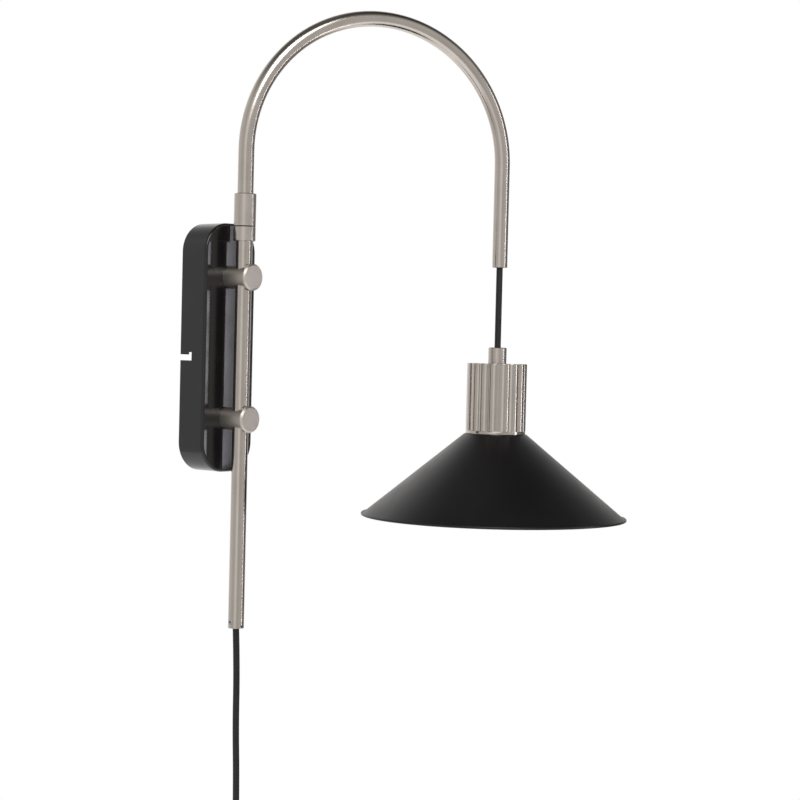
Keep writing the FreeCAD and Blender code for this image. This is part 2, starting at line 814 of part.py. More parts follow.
def nipple_and_nut():
    pipe_end = turned(
        "threaded_nipple",
        (
            (3.3, "cup_head - 10.4"),
            ("nipple_radius", "cup_head - 10.4"),
            ("nipple_radius", "gland_head - 6.7"),
            (3.3, "gland_head - 6.7"),
        ),
    )
    on_lamp("threaded_nipple", pipe_end)
    hexagon = doc.addObject("Part::Prism", "nut_hexagon")
    hexagon.Polygon = 6
    hexagon.Circumradius = 8
    hexagon.Height = 3
    bore = rod("nut_bore", "nipple_radius + 0.05", "0", "3")
    nut = doc.addObject("Part::Cut", "nut_cut")
    nut.Base, nut.Tool = hexagon, bore
    on_lamp("nipple_nut", nut, z="cup_head - 4.6")


def lampholder():
    """Two-part lampholder: a cap on the nipple and a body that carries the thread shell."""
    cap_top, joint = "cup_head - 5.2", "cup_head - 30.3"
    cap = turned(
        "lampholder_cap",
        (
            ("nipple_radius + 0.05", cap_top),
            (12, cap_top),
            ("holder_radius", f"{cap_top} - 5"),
            ("holder_radius", joint),
            ("holder_radius - 2", joint),
            ("holder_radius - 2", f"{cap_top} - 6"),
            (11, f"{cap_top} - 3"),
            (8, f"{cap_top} - 3"),
            (8, f"{cap_top} - 5"),
            ("nipple_radius + 0.05", f"{cap_top} - 5"),
        ),
    )
    on_lamp("lampholder_cap", cap)
    base = turned(
        "lampholder_body",
        (
            (2.8, f"{joint} - 0.1"),
            ("holder_radius", f"{joint} - 0.1"),
            ("holder_radius", "cup_foot + 1.6"),
            ("cup_bore - 0.3", "cup_foot + 1.6"),
            ("cup_bore - 0.3", "cup_foot"),
            ("holder_radius", "cup_foot"),
            ("holder_radius", "cup_foot - 6.5"),
            (14.2, "cup_foot - 6.5"),
            (14.2, f"{joint} - 3.1"),
            (2.8, f"{joint} - 3.1"),
        ),
    )
    on_lamp("lampholder_body", base)
    shell = turned(
        "thread_shell",
        (
            ("shell_bore", "cup_foot - 4"),
            ("shell_bore + 0.5", "cup_foot - 4"),
            ("shell_bore + 0.5", "cup_foot + 18"),
            ("shell_bore", "cup_foot + 18"),
        ),
    )
    on_lamp("thread_shell", shell)
    spring = turned(
        "centre_contact",
        (
            (0, f"{joint} + 2"),
            (2.7, f"{joint} + 2"),
            (2.7, f"{joint} - 3.2"),
            (5, f"{joint} - 3.2"),
            (5, f"{joint} - 4"),
            (2, f"{joint} - 5.2"),
            (0, f"{joint} - 5.2"),
        ),
    )
    on_lamp("centre_contact", spring)
    strip = doc.addObject("Part::Box", "side_contact_strip")
    strip.Length, strip.Width, strip.Height = 4, 5, 3.4
    on_lamp("side_contact", strip, z=f"{joint} - 6.7", side=8.2)
    terminals = []
    for side in (-9, 9):
        screw = turned(
            "terminal_screw",
            ((0, joint), (2.4, joint), (2.4, f"{joint} + 7"), (0.6, f"{joint} + 7.6"), (0, f"{joint} + 7.6")),
        )
        terminals.append(place(screw, x=side))
    on_lamp("terminal_screws", together("terminal_screws", *terminals))


def lamp_leads():
    """Two cores from the cable's end out to the terminals."""
    wires = []
    for side in (-1, 1):
        start = Vector(side * 1.3, 0, -18.6)
        end = Vector(side * 8, 0, SIZE["cup_head"] - 21.8)
        wires.append(Part.makeCylinder(0.9, (end - start).Length, start, end - start))
    made = doc.addObject("Part::Feature", "lamp_leads")
    made.Shape = Part.makeCompound(wires)
    on_lamp("lamp_leads", made)


def shade():
    """The spun cone, with a flat top that the lampholder and its ring clamp between them."""
    rim = "cup_foot - shade_height"
    slope = "(shade_radius - shade_neck) / shade_height"
    cone = turned(
        "shade",
        (
            ("holder_radius + 0.2", "cup_foot"),
            ("shade_neck", "cup_foot"),
            ("shade_radius", rim),
            ("shade_radius - shade_wall_across", rim),
            (f"shade_neck + shade_wall * {slope} - shade_wall_across", "cup_foot - shade_wall"),
            ("holder_radius + 0.2", "cup_foot - shade_wall"),
        ),
    )
    on_lamp("shade", cone)
    ring = turned(
        "shade_ring",
        (
            ("holder_radius + 0.05", "cup_foot - shade_wall"),
            ("holder_radius + 3.4", "cup_foot - shade_wall"),
            ("holder_radius + 3.4", "cup_foot - shade_wall - 1.4"),
            ("holder_radius + 2", "cup_foot - shade_wall - 1.9"),
            ("holder_radius + 2", "cup_foot - shade_wall - 5"),
            ("holder_radius + 0.05", "cup_foot - shade_wall - 5"),
        ),
    )
    on_lamp("shade_ring", ring)


# ---------------------------------------------------------------- cords


def arc_from(start, tangent, end):
    """The arc that leaves start along tangent and reaches end."""
    chord = end - start
    across = tangent - chord * (tangent.dot(chord) / chord.dot(chord))
    if across.Length < 1e-9:
        return Part.LineSegment(start, end)
    bulge = chord.Length / 2 * math.tan(tangent.getAngle(chord) / 2)
    return Part.Arc(start, (start + end) / 2 + across.normalize() * bulge, end)


def rounded_route(points):
    """Straight runs joined by tangent arcs, each as large as its two runs allow."""
    edges = []
    reached = points[0]
    for before, corner, after in zip(points, points[1:], points[2:]):
        inward, outward = corner - before, after - corner
        half_turn = inward.getAngle(outward) / 2
        cut = 0.45 * min(inward.Length, outward.Length)
        print(f"    arc radius {cut / math.tan(half_turn):.0f} mm, turn {math.degrees(2 * half_turn):.0f}")
        start = corner - inward.normalize() * cut
        end = corner + outward.normalize() * cut
        edges.append(Part.LineSegment(reached, start))
        edges.append(arc_from(start, inward, end))
        reached = end
    edges.append(Part.LineSegment(reached, points[-1]))
    return Part.Wire([edge.toShape() for edge in edges])


def swept(name, wire, radius):
    """A round cord along a wire, checked against its section times its length."""
    start = wire.OrderedEdges[0]
    first, last = start.ParameterRange
    at_start = start.valueAt(first), start.tangentAt(first)
    if (at_start[0] - wire.OrderedVertexes[0].Point).Length > 1e-6:
        at_start = start.valueAt(last), -start.tangentAt(last)
    ring = Part.Wire([Part.Circle(at_start[0], at_start[1], radius).toShape()])
    shell = Part.BRepOffsetAPI.MakePipeShell(wire)
    shell.add(ring)
    shell.build()
    shell.makeSolid()
    solid = shell.shape()
    ideal = math.pi * radius**2 * wire.Length
    print(f"  {name}: {wire.Length:.1f} mm, volume {solid.Volume / ideal:.5f} of section times length")
    made = doc.addObject("Part::Feature", name)
    made.Shape = solid
    return named(name, made)


def free_cords():
    """The three stretches of cord that hang free, from the stem to the plug."""
    out, switch_out = -SIZE["stem_from_wall"], -SIZE["switch_out"]
    side = SIZE["switch_side"]
    top = SIZE["switch_top"]
    bottom = top - SIZE["switch_length"]
    upper = (
        (0, out, SIZE["stem_foot"]),
        (0.9, out - 1, -240),
        (0.9, out - 1.1, -285),
        (1.8, out - 2, -320),
        (side, switch_out, top),
    )
    entry = SIZE["hank_side"] + run_offset(1)
    wall_layer = SIZE["layer_gap"] / 2 - SIZE["hank_out"]
    start = SIZE["hank_top"] + 2 * SIZE["cord_radius"]
    middle = (
        (side, switch_out, bottom),
        (side + 0.3, switch_out, bottom - 15),
        (entry - 0.3, wall_layer, start + 15),
        (entry, wall_layer, start),
    )
    leave = SIZE["hank_side"] + run_offset(SIZE["runs"])
    room_layer = -SIZE["layer_gap"] / 2 - SIZE["hank_out"]
    plug_side, plug_out = SIZE["plug_side"], -SIZE["plug_out"]
    tail = (
        (leave, room_layer, start),
        (leave, room_layer - 1.7, start + 24),
        (leave + 18, room_layer - 4.7, start + 42),
        (plug_side - 17.5, plug_out + 4, start + 42),
        (plug_side, plug_out + 1, start + 24.5),
        (plug_side, plug_out, start),
    )
    for name, points in (("power_cord_upper", upper), ("power_cord_middle", middle), ("power_cord_tail", tail)):
        swept(name, rounded_route([Vector(*point) for point in points]), SIZE["cord_radius"])


def run_offset(number):
    """Where a run of the hank lies from its middle: runs alternate right and left."""
    away = SIZE["first_run"] + abs(number - SIZE["runs"] // 2) * SIZE["run_step"]
    return away if number % 2 else -away


def hank_run(start, end):
    """One run, drawn in at the waist: four arcs, upright at both ends and in the middle."""
    down = Vector(0, 0, math.copysign(1, end.z - start.z))
    inward = math.copysign(SIZE["waist_pull"], -(start.x - SIZE["hank_side"]))
    waist = (start + end) / 2 + Vector(inward, 0, 0)
    arcs = []
    for head, foot in ((start, waist), (waist, end)):
        middle = (head + foot) / 2
        arcs.append(arc_from(head, down, middle))
        back = arc_from(foot, -down, middle)
        arcs.append(Part.Arc(middle, back.value((back.FirstParameter + back.LastParameter) / 2), foot))
    return arcs


def hank():
    """The put-away length: two layers of upright loops that spiral in, climb and spiral out again."""
    top, middle, out = SIZE["hank_top"], SIZE["hank_side"], -SIZE["hank_out"]
    bottom = top - SIZE["run_length"]
    count = int(SIZE["runs"])
    inner = count // 2
    layers = out + SIZE["layer_gap"] / 2, out - SIZE["layer_gap"] / 2
    straight = Vector(0, 0, 2 * SIZE["cord_radius"])
    edges = []
    reached = None
    for number in range(1, count + 1):
        x = middle + run_offset(number)
        head, foot = (top, bottom) if number % 2 else (bottom, top)
        start = Vector(x, layers[number > inner], head)
        end = Vector(x, layers[number >= inner], foot)
        if reached is None:
            edges.append(Part.LineSegment(start + straight, start))
        else:
            turn = (reached + start) / 2 + Vector(0, 0, math.copysign(1, head - foot)) * (
                abs(start.x - reached.x) / 2
            )
            edges.append(Part.Arc(reached, turn, start))
        edges += hank_run(start, end)
        reached = end
    edges.append(Part.LineSegment(reached, reached + straight))
    wire = Part.Wire([edge.toShape() for edge in edges])
    swept("cord_hank", wire, SIZE["cord_radius"])
    print(f"  least gap of the hank to itself: {least_gap(wire, SIZE['cord_radius']):.2f} mm")


def least_gap(wire, radius, step=2.0):
    """The smallest gap between stretches of a cord that lie further apart along it than a tight bend."""
    points = wire.discretize(Distance=step)
    apart = int(12 * radius / step) + 1
    least = min(
        (points[i] - points[j]).Length for i in range(len(points)) for j in range(i + apart, len(points))
    )
    return least - 2 * radius


def cord_tie():
    """A strap round the hank's waist."""
    spread = abs(run_offset(SIZE["runs"])) - SIZE["waist_pull"] + SIZE["cord_radius"] + 0.5
    width = 2 * spread - SIZE["run_step"]
    thick = SIZE["layer_gap"] + 2 * SIZE["cord_radius"] + 0.9
    owner = body("cord_tie")
    made = sketch(owner, "XY")
    rounded(made, width + 2.4, thick + 2.4, 5)
    rounded(made, width, thick, 3.8)
    pad(owner, made, 12)
    x = SIZE["hank_side"] - SIZE["run_step"] / 2
    z = SIZE["hank_top"] - SIZE["run_length"] / 2 - 6
    return named("cord_tie", place(owner, x, "-hank_out", z))


# ---------------------------------------------------------------- in-line switch


def switch_half(name):
    """One half of the switch's case, with its screw bosses and the cord's half channels."""
    owner = body(name)
    made = sketch(owner, "XY")
    rounded(made, "switch_width", "switch_length", 9)
    block = pad(owner, made, "switch_half")
    face = SIZE["switch_half"]
    rounding(owner, block, 3, lambda e: all(abs(v.Z - face) < 1e-6 for v in e.Vertexes))
    made = sketch(owner, "XY")
    rounded(made, "(switch_width - 3.2)", "(switch_length - 3.2)", 7.4)
    pocket(owner, made, "switch_half - 1.8", reverse=True)
    for side in (-1, 1):
        made = sketch(owner, "XY")
        circle(made, side * 9, 0, 2.6)
        pad(owner, made, "switch_half - 1")
    made = sketch(owner, "XZ")
    circle(made, 0, 0, "cord_radius + 0.05")
    pocket(owner, made, both=True)
    return owner


def in_line_switch():
    z = "switch_top - switch_length / 2"
    spot = dict(x="switch_side", y="-switch_out", z=z)
    base = switch_half("switch_base")
    for side in (-1, 1):
        for radius, depth in ((1.3, None), (2.5, 2.2)):
            made = sketch(base, "XY", 0 if depth is None else "switch_half")
            circle(made, side * 9, 0, radius)
            pocket(base, made, depth, reverse=depth is None)
    named("switch_base", place(base, turn=INTO_WALL, **spot))
    cover = switch_half("switch_cover")
    made = sketch(cover, "XY")
    outline(made, ((-6.1, -10.2), (6.1, -10.2), (6.1, 10.2), (-6.1, 10.2)))
    pocket(cover, made, reverse=True)
    for side in (-1, 1):
        made = sketch(cover, "XY")
        circle(made, side * 9, 0, 1.22)
        pocket(cover, made, 5, reverse=True)
    named("switch_cover", place(cover, turn=OUT_FROM_WALL, **spot))
    rocker = body("switch_rocker")
    made = sketch(rocker, "YZ", -5.6)
    outline(made, ((-9.2, 0), (-2, -3), (2, -3), (9.2, 0), (9.2, 4.6), (0, 3.9), (-9.2, 4.6)))
    pad(rocker, made, 11.2)
    tip = Rotation(Vector(1, 0, 0), 7)
    named("switch_rocker", place(rocker, "switch_side", "-switch_out - 4.6", z, OUT_FROM_WALL * tip))
    screws = [
        turned("switch_screw", ((0, -4.5), (1.2, -4.5), (1.2, 6.4), (2.3, 6.4), (2.3, 7.8), (0, 7.8)))
        for _ in range(2)
    ]
    for screw, side in zip(screws, (-9, 9)):
        place(screw, f"switch_side + {side}", "-switch_out", z, INTO_WALL)
    group("switch_screws", *screws)
    strips = []
    ends = []
    for side in (-1, 1):
        strip = doc.addObject("Part::Box", "switch_contact")
        strip.Length, strip.Width, strip.Height = 5, 3, 6
        strips.append(place(strip, "switch_side - 2.5", "-switch_out - 1.5", f"{z} + {side * 13} - 3"))
        stub = rod("switch_cord_end", "cord_radius", 0, 11.9)
        low = f"{z} + switch_length / 2 - 11.9" if side > 0 else f"{z} - switch_length / 2"
        ends.append(place(stub, "switch_side", "-switch_out", low))
    group("switch_contacts", *strips)
    group("switch_cord_ends", *ends)


# ---------------------------------------------------------------- plug


def plug():
    relief = turned(
        "plug_relief",
        ((0, 0), (5.4, 0), (4.9, 3), (3.2, 12), (0, 12)),
    )
    named("plug_relief", place(relief, "plug_side", "-plug_out", "plug_top"))
    owner = body("plug_body")
    made = sketch(owner, "XY", -30)
    rounded(made, 35.3, 13.7, 6.6)
    lower = sketch(owner, "XY", -8)
    rounded(lower, 30, 13.7, 6.6)
    upper = sketch(owner, "XY", 0)
    rounded(upper, 17, 12.4, 6)
    loft = owner.newObject("PartDesign::AdditiveLoft", "plug_loft")
    loft.Profile = made
    loft.Sections = [lower, upper]
    loft.Ruled = True
    named("plug_body", place(owner, "plug_side", "-plug_out", "plug_top"))
    pins = []
    for side in (-1, 1):
        pin = turned(
            "plug_pin",
            (
                (0, 0),
                ("pin_radius", 0),
                ("pin_radius", "1 - pin_length"),
                ("pin_radius - 0.9", "-pin_length"),
                (0, "-pin_length"),
            ),
        )
        pins.append(place(pin, f"plug_side + {side} * pin_spacing / 2", "-plug_out", "plug_top - 30"))
    group("plug_pins", *pins)


# ---------------------------------------------------------------- build, check and write


def build():
    wall_plate()
    wall_bracket()
    cover_screws()
    posts_and_clamps()
    stem_tube()
    stem_cord_bush()
    cord_grub_screw()
    swivel()
    stem_cable()
    arm()
    pendant_cable()
    gland()
    socket_cup()
    nipple_and_nut()
    lampholder()
    lamp_leads()
    shade()
    free_cords()
    hank()
    cord_tie()
    in_line_switch()
    plug()
    doc.recompute()


def write():
    failed = [item.Label for item in doc.Objects if {"Invalid", "Error"} & set(item.State)]
    wrong = [name for name, piece in parts.items() if piece.Shape.isNull() or not piece.Shape.isValid()]
    if failed or wrong:
        raise RuntimeError(f"failed: {failed}, not valid: {wrong}")
    os.makedirs("parts", exist_ok=True)
    for name, piece in parts.items():
        piece.Shape.exportStep(f"parts/{name}.step")
    print(f"{len(parts)} sub-parts, {sum(len(piece.Shape.Solids) for piece in parts.values())} solids")


build()
write()
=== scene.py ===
"""Wall sconce with a hanging shade: nickel stem and arch, reeded cup, black cone, cord, switch and plug."""

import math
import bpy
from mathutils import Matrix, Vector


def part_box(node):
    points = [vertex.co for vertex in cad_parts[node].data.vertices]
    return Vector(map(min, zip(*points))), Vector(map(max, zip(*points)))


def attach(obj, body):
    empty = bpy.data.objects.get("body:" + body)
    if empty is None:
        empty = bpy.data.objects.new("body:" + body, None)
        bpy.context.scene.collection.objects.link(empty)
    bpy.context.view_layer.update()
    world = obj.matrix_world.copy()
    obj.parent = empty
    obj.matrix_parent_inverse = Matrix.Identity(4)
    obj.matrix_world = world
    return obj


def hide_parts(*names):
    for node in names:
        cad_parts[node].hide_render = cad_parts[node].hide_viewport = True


bl_info = {
    "name": "Hanging Wall Sconce",
    "version": (1, 0, 0),
    "blender": (4, 5, 0),
    "location": "View3D > Sidebar > Sconce",
    "description": "Builds the finishes and the soft pieces of a wall sconce with a swivelling arch arm",
    "category": "Add Mesh",
}

import bmesh
import bpy
from bpy.props import FloatProperty, FloatVectorProperty, IntProperty, PointerProperty
from mathutils import Matrix, Vector

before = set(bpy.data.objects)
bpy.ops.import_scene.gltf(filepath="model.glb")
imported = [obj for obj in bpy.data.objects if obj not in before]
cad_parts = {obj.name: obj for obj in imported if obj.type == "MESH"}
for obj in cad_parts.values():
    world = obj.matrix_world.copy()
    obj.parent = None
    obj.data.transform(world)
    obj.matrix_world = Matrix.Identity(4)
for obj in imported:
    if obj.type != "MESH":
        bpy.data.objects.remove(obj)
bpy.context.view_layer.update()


def box_middle(node):
    low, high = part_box(node)
    return (low + high) / 2


# ---------------------------------------------------------------- settings


class SconceFinishes(bpy.types.PropertyGroup):
    """Colours and roughness of the sconce's finishes"""

    nickel: FloatVectorProperty(
        name="Satin Nickel", description="Plating on the stem, arch, knobs and cup", subtype="COLOR",
        size=3, min=0, max=1, default=(0.66, 0.605, 0.55),
    )
    nickel_roughness: FloatProperty(
        name="Nickel Roughness", description="How soft the plating's reflections are", subtype="FACTOR",
        min=0, max=1, default=0.2,
    )
    enamel: FloatVectorProperty(
        name="Black Enamel", description="Gloss coat of the wall plate", subtype="COLOR",
        size=3, min=0, max=1, default=(0.012, 0.011, 0.012),
    )
    shade_paint: FloatVectorProperty(
        name="Shade Paint", description="Satin paint of the cone", subtype="COLOR",
        size=3, min=0, max=1, default=(0.006, 0.0055, 0.006),
    )
    plastic: FloatVectorProperty(
        name="Black Plastic", description="Switch, plug, lampholder and bushes", subtype="COLOR",
        size=3, min=0, max=1, default=(0.022, 0.022, 0.024),
    )
    sheath: FloatVectorProperty(
        name="Cord Sheath", description="Outer sheath of every cord", subtype="COLOR",
        size=3, min=0, max=1, default=(0.010, 0.0095, 0.010),
    )
    zinc: FloatVectorProperty(
        name="Bright Zinc", description="Bracket, screws, nuts and pins", subtype="COLOR",
        size=3, min=0, max=1, default=(0.62, 0.63, 0.65),
    )
    brass: FloatVectorProperty(
        name="Brass", description="Thread shell and contacts", subtype="COLOR",
        size=3, min=0, max=1, default=(0.80, 0.58, 0.26),
    )


class SconceShape(bpy.types.PropertyGroup):
    """Sizes of the pieces that are made here"""

    reeds: IntProperty(name="Reeds", description="Round reeds about the cup", min=3, default=16)
    reed_radius: FloatProperty(
        name="Reed Radius", description="Roundness of one reed", unit="LENGTH", min=0.001, default=0.0054,
    )
    cup_core: FloatProperty(
        name="Cup Core", description="Cup's radius in the grooves", unit="LENGTH", min=0.001, default=0.0221,
    )
    cup_band: FloatProperty(
        name="Cup Band", description="Plain band at the cup's foot", unit="LENGTH", min=0.0, default=0.0024,
    )
    shade_neck: FloatProperty(
        name="Shade Neck", description="Cone's radius at its top", unit="LENGTH", min=0.001, default=0.0246,
    )
    shade_sheet: FloatProperty(
        name="Shade Sheet", description="Thickness of the cone's sheet", unit="LENGTH",
        min=0.0001, default=0.0012,
    )
    cord_diameter: FloatProperty(
        name="Cord Diameter", description="Sheath of the power cord", unit="LENGTH", min=0.001, default=0.005,
    )
    upper_length: FloatProperty(
        name="Cord to Switch", description="From the stem to the switch", unit="LENGTH",
        min=0.01, default=0.137,
    )
    lower_length: FloatProperty(
        name="Cord to Plug", description="From the switch to the plug", unit="LENGTH",
        min=0.01, default=1.728,
    )


class SconceStudio(bpy.types.PropertyGroup):
    """Light and background"""

    backdrop: FloatVectorProperty(
        name="Backdrop", description="Background that the camera sees", subtype="COLOR",
        size=3, min=0, max=1, default=(1.0, 1.0, 1.0),
    )
    surround: FloatProperty(
        name="Surround", description="Strength of the light from all round", min=0, default=1.0,
    )
    ceiling: FloatProperty(
        name="Ceiling", description="Share of the surround that is left straight above", subtype="FACTOR",
        min=0, max=1, default=0.15,
    )
    key_power: FloatProperty(
        name="Key Lamp", description="Power of the large lamp", subtype="POWER", min=0, default=14,
    )
    card_power: FloatProperty(
        name="Card Lamp", description="Power of the tall lamp that the plate mirrors", subtype="POWER",
        min=0, default=0.42,
    )


# ---------------------------------------------------------------- shader groups


def new_group(name, inputs, outputs):
    """A shader node group with named float inputs (name, default) and outputs (name, socket type)."""
    tree = bpy.data.node_groups.new(name, "ShaderNodeTree")
    for label, default in inputs:
        socket = tree.interface.new_socket(label, in_out="INPUT", socket_type="NodeSocketFloat")
        socket.default_value = default
    for label, kind in outputs:
        tree.interface.new_socket(label, in_out="OUTPUT", socket_type=kind)
    return tree, tree.nodes.new("NodeGroupInput"), tree.nodes.new("NodeGroupOutput")


def maths(tree, operation, first, second=None):
    """A Math node fed by sockets or plain numbers; gives its output."""
    node = tree.nodes.new("ShaderNodeMath")
    node.operation = operation
    for socket, value in zip(node.inputs, (first, second)):
        if value is None:
            continue
        if isinstance(value, (int, float)):
            socket.default_value = value
        else:
            tree.links.new(value, socket)
    return node.outputs[0]


def stretched_noise(tree, scale, stretch, detail):
    """Noise in the object's own space, drawn out along Z by the stretch socket."""
    place = tree.nodes.new("ShaderNodeTexCoord")
    squeeze = tree.nodes.new("ShaderNodeMapping")
    along = tree.nodes.new("ShaderNodeCombineXYZ")
    along.inputs[0].default_value = 1
    along.inputs[1].default_value = 1
    tree.links.new(stretch, along.inputs[2])
    noise = tree.nodes.new("ShaderNodeTexNoise")
    noise.inputs["Detail"].default_value = detail
    tree.links.new(place.outputs["Object"], squeeze.inputs["Vector"])
    tree.links.new(along.outputs[0], squeeze.inputs["Scale"])
    tree.links.new(squeeze.outputs[0], noise.inputs["Vector"])
    tree.links.new(scale, noise.inputs["Scale"])
    return noise.outputs["Fac"]


def brushed_group():
    """Fine parallel lines, with a roughness that wavers about its middle value."""
    tree, given, out = new_group(
        "sconce_brushed",
        (("Scale", 900), ("Stretch", 0.02), ("Roughness", 0.24), ("Waver", 0.08), ("Depth", 0.3)),
        (("Roughness", "NodeSocketFloat"), ("Height", "NodeSocketFloat")),
    )
    lines = stretched_noise(tree, given.outputs["Scale"], given.outputs["Stretch"], 3)
    centred = maths(tree, "SUBTRACT", lines, 0.5)
    wavering = maths(tree, "MULTIPLY", centred, given.outputs["Waver"])
    rough = maths(tree, "ADD", wavering, given.outputs["Roughness"])
    tree.links.new(rough, out.inputs["Roughness"])
    tree.links.new(maths(tree, "MULTIPLY", lines, given.outputs["Depth"]), out.inputs["Height"])
    return tree


def handled_group():
    """Soft cloudy marks, as of handling and dust: roughness and a slight change of shade."""
    tree, given, out = new_group(
        "sconce_handled",
        (("Scale", 30), ("Roughness", 0.3), ("Marks", 0.1)),
        (("Roughness", "NodeSocketFloat"), ("Mask", "NodeSocketFloat")),
    )
    noise = tree.nodes.new("ShaderNodeTexNoise")
    noise.inputs["Detail"].default_value = 5
    noise.inputs["Roughness"].default_value = 0.6
    place = tree.nodes.new("ShaderNodeTexCoord")
    tree.links.new(place.outputs["Object"], noise.inputs["Vector"])
    tree.links.new(given.outputs["Scale"], noise.inputs["Scale"])
    mask = tree.nodes.new("ShaderNodeMapRange")
    mask.interpolation_type = "SMOOTHSTEP"
    mask.inputs["From Min"].default_value = 0.4
    mask.inputs["From Max"].default_value = 0.68
    tree.links.new(noise.outputs["Fac"], mask.inputs["Value"])
    marks = maths(tree, "MULTIPLY", mask.outputs[0], given.outputs["Marks"])
    tree.links.new(maths(tree, "ADD", marks, given.outputs["Roughness"]), out.inputs["Roughness"])
    tree.links.new(mask.outputs[0], out.inputs["Mask"])
    return tree


def grain_group():
    """Fine even grain, as on moulded plastic or sprayed paint."""
    tree, given, out = new_group(
        "sconce_grain",
        (("Scale", 1500), ("Depth", 0.3)),
        (("Height", "NodeSocketFloat"),),
    )
    place = tree.nodes.new("ShaderNodeTexCoord")
    cells = tree.nodes.new("ShaderNodeTexVoronoi")
    cells.feature = "SMOOTH_F1"
    tree.links.new(place.outputs["Object"], cells.inputs["Vector"])
    tree.links.new(given.outputs["Scale"], cells.inputs["Scale"])
    height = maths(tree, "MULTIPLY", cells.outputs["Distance"], given.outputs["Depth"])
    tree.links.new(height, out.inputs["Height"])
    return tree


class Finish:
    """One material in the making: its tree, its Principled shader and the shared groups."""

    def __init__(self, name, colour, metallic, roughness):
        self.material = bpy.data.materials.new(name)
        self.material.use_nodes = True
        self.tree = self.material.node_tree
        self.shader = self.tree.nodes["Principled BSDF"]
        self.shader.inputs["Base Color"].default_value = (*colour, 1)
        self.shader.inputs["Metallic"].default_value = metallic
        self.shader.inputs["Roughness"].default_value = roughness

    def use(self, group, **values):
        node = self.tree.nodes.new("ShaderNodeGroup")
        node.node_tree = bpy.data.node_groups[group]
        for label, value in values.items():
            node.inputs[label].default_value = value
        return node

    def rough(self, node):
        self.tree.links.new(node.outputs["Roughness"], self.shader.inputs["Roughness"])

    def bump(self, node, distance, strength=1.0):
        raised = self.tree.nodes.new("ShaderNodeBump")
        raised.inputs["Strength"].default_value = strength
        raised.inputs["Distance"].default_value = distance
        self.tree.links.new(node.outputs["Height"], raised.inputs["Height"])
        self.tree.links.new(raised.outputs["Normal"], self.shader.inputs["Normal"])

    def tint(self, mask, plain, marked):
        """Colour that goes from plain to marked with a mask."""
        mix = self.tree.nodes.new("ShaderNodeMix")
        mix.data_type = "RGBA"
        mix.inputs["A"].default_value = (*plain, 1)
        mix.inputs["B"].default_value = (*marked, 1)
        self.tree.links.new(mask, mix.inputs["Factor"])
        self.tree.links.new(mix.outputs["Result"], self.shader.inputs["Base Color"])


def scaled(colour, factor):
    return tuple(min(1.0, channel * factor) for channel in colour)


def nickel(name, stretch, scale, roughness, strength=0.35):
    """Satin nickel, brushed along Z where stretch is small and round the piece where it is large."""
    colour = tuple(bpy.context.scene.sconce_finishes.nickel)
    made = Finish(name, colour, 1.0, roughness)
    lines = made.use(
        "sconce_brushed", Scale=scale, Stretch=stretch, Roughness=roughness, Waver=roughness / 2, Depth=1.0
    )
    made.rough(lines)
    made.bump(lines, 0.00001, strength)
    marks = made.use("sconce_handled", Scale=45, Roughness=0.2, Marks=0.1)
    made.tint(marks.outputs["Mask"], colour, scaled(colour, 0.93))
    return made.material


def enamel():
    """Black gloss enamel with a clear coat and faint marks."""
    colour = tuple(bpy.context.scene.sconce_finishes.enamel)
    made = Finish("gloss_enamel", colour, 0.0, 0.12)
    made.shader.inputs["Coat Weight"].default_value = 0.12
    made.shader.inputs["Coat Roughness"].default_value = 0.05
    marks = made.use("sconce_handled", Scale=38, Roughness=0.11, Marks=0.08)
    made.rough(marks)
    made.tint(marks.outputs["Mask"], colour, scaled(colour, 1.35))
    made.bump(made.use("sconce_grain", Scale=420, Depth=1.0), 0.00001, 0.12)
    return made.material


def satin_paint():
    """Sprayed satin paint on the cone, with a fine even grain."""
    colour = tuple(bpy.context.scene.sconce_finishes.shade_paint)
    made = Finish("satin_paint", colour, 0.0, 0.36)
    marks = made.use("sconce_handled", Scale=18, Roughness=0.34, Marks=0.06)
    made.rough(marks)
    made.tint(marks.outputs["Mask"], colour, scaled(colour, 1.3))
    made.bump(made.use("sconce_grain", Scale=1400, Depth=1.0), 0.00002, 0.25)
    return made.material


def moulded(name, colour, roughness, depth=0.00003):
    """Matt moulded plastic with a spark-eroded grain."""
    made = Finish(name, colour, 0.0, roughness)
    marks = made.use("sconce_handled", Scale=60, Roughness=roughness, Marks=0.12)
    made.rough(marks)
    made.tint(marks.outputs["Mask"], colour, scaled(colour, 1.4))
    made.bump(made.use("sconce_grain", Scale=1800, Depth=1.0), depth, 0.4)
    return made.material


def bare_metal(name, colour, roughness):
    """Zinc-plated steel or brass, lightly clouded."""
    made = Finish(name, colour, 1.0, roughness)
    marks = made.use("sconce_handled", Scale=120, Roughness=roughness, Marks=0.15)
    made.rough(marks)
    made.tint(marks.outputs["Mask"], colour, scaled(colour, 0.86))
    made.bump(made.use("sconce_brushed", Scale=1200, Stretch=1.0, Depth=1.0), 0.00001, 0.3)
    return made.material


